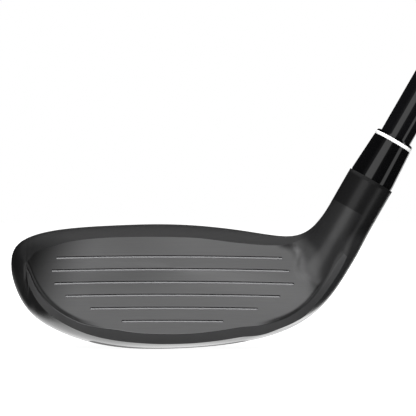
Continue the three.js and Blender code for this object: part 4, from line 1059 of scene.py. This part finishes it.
body = hull.copy()
body.data = hull.data.copy()
body.name = "head_shell"
SCENE.collection.objects.link(body)
boss = lathe("boss", [(0, -6), (10.2, -6), (10.2, 14.5), (0, 14.5)], PORT_AT, PORT_DIR, 64, closed=False)
cut(boss, hull, "INTERSECT", keep=True)
cut(body, cavity)
cut(body, boss, "UNION")
cut(body, lathe("bore", [(0, BORE_BOTTOM), (BORE_R, BORE_BOTTOM), (BORE_R, HOSEL_TOP + 5), (0, HOSEL_TOP + 5)], n=96, closed=False))
cut(body, seat)
cut(body, crown_seat)
cut(window, hull, "INTERSECT", keep=True)
cut(body, window)
R_ = PORT_HEAD_R + 0.4
cut(body, lathe("port", rounded([(0, -12), (R_ + 1.4, -12), (R_ + 1.4, -0.9), (R_, 0.5), (R_, PORT_FLOOR), (2.75, PORT_FLOOR), (2.75, 13.2), (0, 13.2)],
                                closed=False, r=0.2), PORT_AT, PORT_DIR, 128, closed=False))
SLOT_Y, SLOT_X, SLOT_L, SLOT_W = 6.5, 3.0, 46.0, 5.0
half = SLOT_L / 2
cut(body, prism("slot", capsule(-half, half, SLOT_W, 24), (SLOT_X, SLOT_Y, -4), (1, 0, 0), (0, 0, 1), 12))
ground = lambda: prism("ground", [(-30, -30), (30, -30), (30, 30), (-30, 30)], (0, 10, -10), (1, 0, 0), (0, 0, 1), 10)
cut(body, ground())
skin.dress(body)
finish_piece(body, "head_body")

plate.name = "face"
skin.dress(plate, 25)
deep = [i for i, d in skin.off if d < (GROOVE_D + 0.1) * MM]
finish_piece(plate, "face_plate")
plate.data.materials.append(groove_floor_grey())
for i in deep:
    p = plate.data.polygons[i]
    if p.normal.dot(Vector(FN)) > 0.80:
        p.material_index = 1

shade(crown, 30)
finish_piece(crown, "crown_shell")

insert = prism("slot_strip", capsule(-half + 0.12, half - 0.12, SLOT_W - 0.24, 24), (SLOT_X, SLOT_Y, -2), (1, 0, 0), (0, 0, 1), 7.0)
cut(insert, hull, "INTERSECT", keep=True)
cut(insert, ground())
skin.dress(insert)
finish_piece(insert, "sole_slot_insert")

# ---- rear weight ------------------------------------------------------------------
screw = lathe("rear_weight", rounded([(0, 1.4), (5.75, 1.4, 0.1), (PORT_HEAD_R, 2.0, 0.3), (PORT_HEAD_R, PORT_FLOOR - 0.75, 0.2), (2.35, PORT_FLOOR - 0.75, 0.2),
                                      (2.35, 12.2, 0.2), (1.9, 12.7, 0.1), (0, 12.7)], closed=False), PORT_AT, PORT_DIR, 128, closed=False)
lobes = []
for i in range(72):
    a = 2 * math.pi * i / 72
    q = 2.25 + 0.42 * math.cos(6 * a)
    lobes.append((q * math.cos(a), q * math.sin(a)))
cut(screw, prism("socket", lobes, PORT_AT, (1, 0, 0), PORT_DIR, 3.9))
cut(screw, lathe("dish", rounded([(0, 0.9), (3.55, 0.9), (3.15, 1.75, 0.1), (0, 1.75)], closed=False), PORT_AT, PORT_DIR, 96, closed=False))
cut(screw, lathe("rim_groove", [(4.55, 0.9), (4.95, 0.9), (4.95, 1.58), (4.75, 1.66), (4.55, 1.58)], PORT_AT, PORT_DIR, 96))
shade(screw, 28)
finish_piece(screw, "weight_screw")
seal = lathe("rear_weight_seal", rounded([(3.3, PORT_FLOOR - 0.72), (5.2, PORT_FLOOR - 0.72), (5.2, PORT_FLOOR - 0.03), (3.3, PORT_FLOOR - 0.03)], r=0.3, n=5),
             PORT_AT, PORT_DIR, 96)
shade(seal, 60)
finish_piece(seal, "weight_seal_ring")

# ---- ferrule, shaft and grip ---------------------------------------------------------
F0, FB = HOSEL_TOP + 0.03, 4.76
ferrule = lathe("ferrule", rounded([(FB, F0), (6.35, F0, 0.1), (6.55, F0 + 0.3, 0.25), (6.55, F0 + 0.95, 0.5), (5.85, F0 + 12.35, 0.12), (FB, F0 + 12.35)], r=0.05, n=5), n=160)
shade(ferrule, 35)
finish_piece(ferrule, "ferrule_body")
ring = lathe("ferrule_trim", rounded([(FB, F0 + 12.38), (5.82, F0 + 12.38, 0.08), (5.90, F0 + 12.9, 0.4), (5.80, F0 + 13.42, 0.08), (FB, F0 + 13.42)], r=0.02, n=5), n=160)
shade(ring, 35)
finish_piece(ring, "ferrule_ring")
lip = lathe("ferrule_lip", rounded([(FB, F0 + 13.45), (5.74, F0 + 13.45, 0.05), (5.70, F0 + 13.95, 0.3), (5.3, F0 + 14.15, 0.2), (FB, F0 + 14.15, 0.05)], r=0.02, n=5), n=160)
shade(lip, 35)
finish_piece(lip, "ferrule_cap")


def shaft_r(s):
    return SHAFT_TIP_R if s < TIP + SHAFT_PARALLEL else SHAFT_TIP_R + (SHAFT_BUTT_R - SHAFT_TIP_R) * (s - TIP - SHAFT_PARALLEL) / (SHAFT_END - TIP - SHAFT_PARALLEL)


outer = [(SHAFT_TIP_R, TIP, 0.3)] + [(shaft_r(s), s, 0) for s in np.linspace(TIP + 2, SHAFT_END - 1, 70)] + [(SHAFT_BUTT_R, SHAFT_END, 0.2)]
shaft = lathe("shaft_tube", rounded([(2.3, TIP, 0.1)] + outer + [(SHAFT_BUTT_R - 1.2, SHAFT_END, 0.1), (3.3, TIP + 90, 0)]), n=128)
shade(shaft, 30)
finish_piece(shaft, "shaft")

G0 = CLUB_LENGTH - GRIP_LENGTH
GRIP_OUT = [(8.35, 0), (8.75, 1.2), (8.95, 20), (9.7, 90), (10.6, 160), (11.4, 215), (12.6, 245), (14.1, 257), (14.9, 262), (14.9, 265)]
gx, gr = [p[1] for p in GRIP_OUT], [p[0] for p in GRIP_OUT]
grip_curve = pchip(np.array(gx, float), np.array(gr, float))


def grip_warp(r, s, a):
    t = s - G0
    if r < 8.2 or t < 2 or t > 263 or r < float(grip_curve(t)) - 0.4:
        return r
    d = 0.0
    for g in (6.0, 8.5, 11.0):
        d += 0.22 * math.exp(-((t - g) / 0.45) ** 2)
    on = float(smooth(16, 20, t)) * (1 - float(smooth(236, 240, t)))
    if on > 0:
        turn = a / (2 * math.pi)
        p = 10 * turn + (t - 16) / 11.0
        q = 10 * turn - (t - 16) / 11.0
        w = lambda x: math.exp(-(((x % 1.0) - 0.5) / 0.085) ** 2)
        d += on * 0.30 * max(w(p), w(q))
    return r - d


rows = [(float(grip_curve(t)), G0 + t, 0) for t in np.concatenate([np.linspace(1.2, 14, 46), np.linspace(14.4, 240, 420), np.linspace(240.6, 262, 40)])]
grip = lathe("grip_sleeve", rounded([(shaft_r(G0) + TAPE + 0.05, G0, 0.1), (8.35, G0, 0.2)] + rows + [(14.9, G0 + 265, 0.6), (14.5, G0 + 266.2, 0.4), (9.2, G0 + 266.2, 0.1), (9.2, G0 + 263.6, 0),
                                     (SHAFT_BUTT_R + TAPE + 0.05, G0 + 263.6, 0), (SHAFT_BUTT_R + TAPE + 0.05, SHAFT_END, 0)]), n=160, warp=grip_warp)
shade(grip, 50)
finish_piece(grip, "grip")
cap = lathe("grip_butt_cap", rounded([(1.6, SHAFT_END + 0.25), (9.1, SHAFT_END + 0.25), (9.1, CLUB_LENGTH - 0.7), (10.8, CLUB_LENGTH - 0.7, 0.05), (10.8, CLUB_LENGTH, 0.3),
                                      (8.3, CLUB_LENGTH, 0.05), (8.1, CLUB_LENGTH - 0.25, 0.05), (7.5, CLUB_LENGTH - 0.25, 0.05), (7.3, CLUB_LENGTH, 0.05), (1.6, CLUB_LENGTH, 0.15)], r=0.1), n=128)
shade(cap, 30)
finish_piece(cap, "grip_cap")

# ---- pieces out of sight keep their CAD solids ------------------------------------------
for node in ("toe_weight_pad", "heel_weight_pad", "damping_glue_pad", "hosel_plug", "hosel_epoxy", "tip_weight", "grip_tape"):
    ob = frame["nodes"][node]
    ob.data.materials.clear()
    ob.data.materials.append(MATS[SLOT[node]])
    shade(ob, 40)
    b = ob.modifiers.new("edge", "BEVEL")
    b.width = 0.0002 if node not in ("hosel_epoxy", "grip_tape") else 0.00001
    b.segments = 2
    b.limit_method = "ANGLE"
    b.angle_limit = math.radians(50)

bpy.data.objects.remove(hull)

# ---- stage ---------------------------------------------------------------------------
CX, CZ, CY = 14.37 * MM, 40.85 * MM, (1.0 - 760.0 - REST_Y) * MM
cam_data = bpy.data.cameras.new("camera")
cam = bpy.data.objects.new("camera", cam_data)
SCENE.collection.objects.link(cam)
cam.location = (CX, CY, CZ)
cam.rotation_euler = (math.pi / 2, 0, 0)
cam_data.sensor_width = 36.0
cam_data.lens = 36.0 * 760.0 / (416 * 0.2874)
cam_data.clip_start, cam_data.clip_end = 0.01, 50
SCENE.camera = cam

floor_me = bpy.data.meshes.new("floor")
s = 6.0
floor_me.from_pydata([(-s, -s, 0), (s, -s, 0), (s, s, 0), (-s, s, 0)], [], [(0, 1, 2, 3)])
floor = bpy.data.objects.new("floor", floor_me)
SCENE.collection.objects.link(floor)
floor.location.z = -0.00005
fm = bpy.data.materials.new("floor")
fm.use_nodes = True
ft = fm.node_tree
for nd in list(ft.nodes):
    ft.nodes.remove(nd)
out = ft.nodes.new("ShaderNodeOutputMaterial")
dif = ft.nodes.new("ShaderNodeBsdfDiffuse")
dif.inputs[0].default_value = (0.35, 0.35, 0.35, 1)
emi = ft.nodes.new("ShaderNodeEmission")
emi.inputs[0].default_value = (1, 1, 1, 1)
geo = ft.nodes.new("ShaderNodeNewGeometry")
dist = ft.nodes.new("ShaderNodeVectorMath")
dist.operation = "LENGTH"
ft.links.new(geo.outputs["Position"], dist.inputs[0])
far = ft.nodes.new("ShaderNodeMapRange")
far.interpolation_type = "SMOOTHSTEP"
far.inputs["From Min"].default_value, far.inputs["From Max"].default_value = 0.10, 0.9
far.inputs["To Min"].default_value, far.inputs["To Max"].default_value = 0.97, 1.05
ft.links.new(dist.outputs["Value"], far.inputs["Value"])
cam_ray = ft.nodes.new("ShaderNodeLightPath")
pick = ft.nodes.new("ShaderNodeMix")
pick.data_type = "FLOAT"
ft.links.new(cam_ray.outputs["Is Camera Ray"], pick.inputs[0])
pick.inputs[2].default_value = 0.35
ft.links.new(far.outputs["Result"], pick.inputs[3])
ft.links.new(pick.outputs[0], emi.inputs[1])
add = ft.nodes.new("ShaderNodeAddShader")
ft.links.new(dif.outputs[0], add.inputs[0])
ft.links.new(emi.outputs[0], add.inputs[1])
# seen from below, the floor lets the camera through so that the sole can be looked at
under = ft.nodes.new("ShaderNodeMath")
under.operation = "MULTIPLY"
ft.links.new(geo.outputs["Backfacing"], under.inputs[0])
ft.links.new(cam_ray.outputs["Is Camera Ray"], under.inputs[1])
clear = ft.nodes.new("ShaderNodeBsdfTransparent")
swap = ft.nodes.new("ShaderNodeMixShader")
ft.links.new(under.outputs[0], swap.inputs[0])
ft.links.new(add.outputs[0], swap.inputs[1])
ft.links.new(clear.outputs[0], swap.inputs[2])
ft.links.new(swap.outputs[0], out.inputs[0])
floor_me.materials.append(fm)
floor.visible_glossy = False

KEY, TOP_L = 0.22, 0.30

# world: white to the camera, a dark room with two soft strips and a pale floor to reflections
world = bpy.data.worlds.new("studio")
SCENE.world = world
world.use_nodes = True
wt = world.node_tree
for nd in list(wt.nodes):
    wt.nodes.remove(nd)


def wadd(kind, **kw):
    n = wt.nodes.new(kind)
    for k, v in kw.items():
        setattr(n, k, v)
    return n


def wput(s, v):
    if hasattr(v, "links"):
        wt.links.new(v, s)
    else:
        s.default_value = v


def wmath(op, a, b=None, c=None):
    n = wadd("ShaderNodeMath", operation=op)
    wput(n.inputs[0], a)
    if b is not None:
        wput(n.inputs[1], b)
    if c is not None:
        wput(n.inputs[2], c)
    return n.outputs[0]


def wstep(v, a, b):
    n = wadd("ShaderNodeMapRange", interpolation_type="SMOOTHSTEP")
    wput(n.inputs["Value"], v)
    n.inputs["From Min"].default_value, n.inputs["From Max"].default_value = a, b
    return n.outputs["Result"]


def wdot(vec, d):
    n = wadd("ShaderNodeVectorMath", operation="DOT_PRODUCT")
    wt.links.new(vec, n.inputs[0])
    n.inputs[1].default_value = d
    return n.outputs["Value"]


gen = wadd("ShaderNodeTexCoord").outputs["Generated"]
rx, ry, rz = wdot(gen, (1, 0, 0)), wdot(gen, (0, 1, 0)), wdot(gen, (0, 0, 1))
across = wdot(gen, (math.sin(LIE), 0, -math.cos(LIE)))
along = wdot(gen, tuple(SHAFT_DIR))
angle = wmath("ARCTAN2", across, wmath("MULTIPLY", ry, -1.0))
spread = wmath("SUBTRACT", 1.0, wstep(wmath("ABSOLUTE", wmath("SUBTRACT", along, -0.21)), 0.38, 0.47))


def strip(mid, half, soft, strength):
    a = wmath("ABSOLUTE", wmath("SUBTRACT", angle, math.radians(mid)))
    m = wmath("SUBTRACT", 1.0, wstep(a, math.radians(half - soft), math.radians(half + soft)))
    return wmath("MULTIPLY", wmath("MULTIPLY", m, spread), strength)


def fall(v, a, b):
    return wmath("SUBTRACT", 1.0, wstep(v, a, b))


def lobe(d, inner, outer, strength):
    """Round soft light about direction d, full inside the inner angle and gone at the outer one."""
    d = Vector(d).normalized()
    m = wstep(wdot(gen, tuple(d)), math.cos(math.radians(outer)), math.cos(math.radians(inner)))
    return wmath("MULTIPLY", m, strength)


env = wmath("ADD", 0.02, 0.0)
env = wmath("ADD", env, strip(-23, 19, 3, 1.30))
env = wmath("ADD", env, strip(57, 9, 3, 1.25))
env = wmath("ADD", env, strip(150, 6, 3, 1.2))
env = wmath("ADD", env, lobe((0, -0.70, 0.71), 30, 50, KEY))
env = wmath("ADD", env, wmath("MULTIPLY", wstep(rz, 0.55, 0.85), TOP_L))
below = wmath("MULTIPLY", wstep(wmath("MULTIPLY", rz, -1.0), 0.02, 0.30), wstep(ry, 0.25, 0.75))
below = wmath("MULTIPLY", below, fall(wmath("ABSOLUTE", wmath("SUBTRACT", rx, -0.04)), 0.34, 0.62))
env = wmath("ADD", env, wmath("MULTIPLY", below, 1.5))
path = wadd("ShaderNodeLightPath")
seen = path.outputs["Is Camera Ray"]
strength = wadd("ShaderNodeMix", data_type="FLOAT")
wt.links.new(seen, strength.inputs[0])
wt.links.new(env, strength.inputs[2])
strength.inputs[3].default_value = 1.0
bg = wadd("ShaderNodeBackground")
bg.inputs[0].default_value = (1, 1, 1, 1)
wt.links.new(strength.outputs[0], bg.inputs[1])
wo = wadd("ShaderNodeOutputWorld")
wt.links.new(bg.outputs[0], wo.inputs[0])


def area(name, loc, target, size, power):
    d = bpy.data.lights.new(name, "AREA")
    d.shape, d.size, d.energy = "DISK", size, power
    o = bpy.data.objects.new(name, d)
    SCENE.collection.objects.link(o)
    o.location = loc
    o.rotation_euler = (Vector(target) - Vector(loc)).to_track_quat("-Z", "Y").to_euler()
    o.visible_camera = False
    o.visible_glossy = False
    return o


area("fill_front", (0.2, -1.6, 1.2), (0.1, 0, 0.2), 1.6, 42)
area("fill_top", (0.1, 0.3, 2.6), (0.1, 0, 0.2), 2.4, 60)
area("fill_back", (0.2, 1.8, 1.2), (0.1, 0, 0.2), 1.6, 25)

SCENE.view_settings.view_transform = "Standard"
SCENE.view_settings.look = "None"
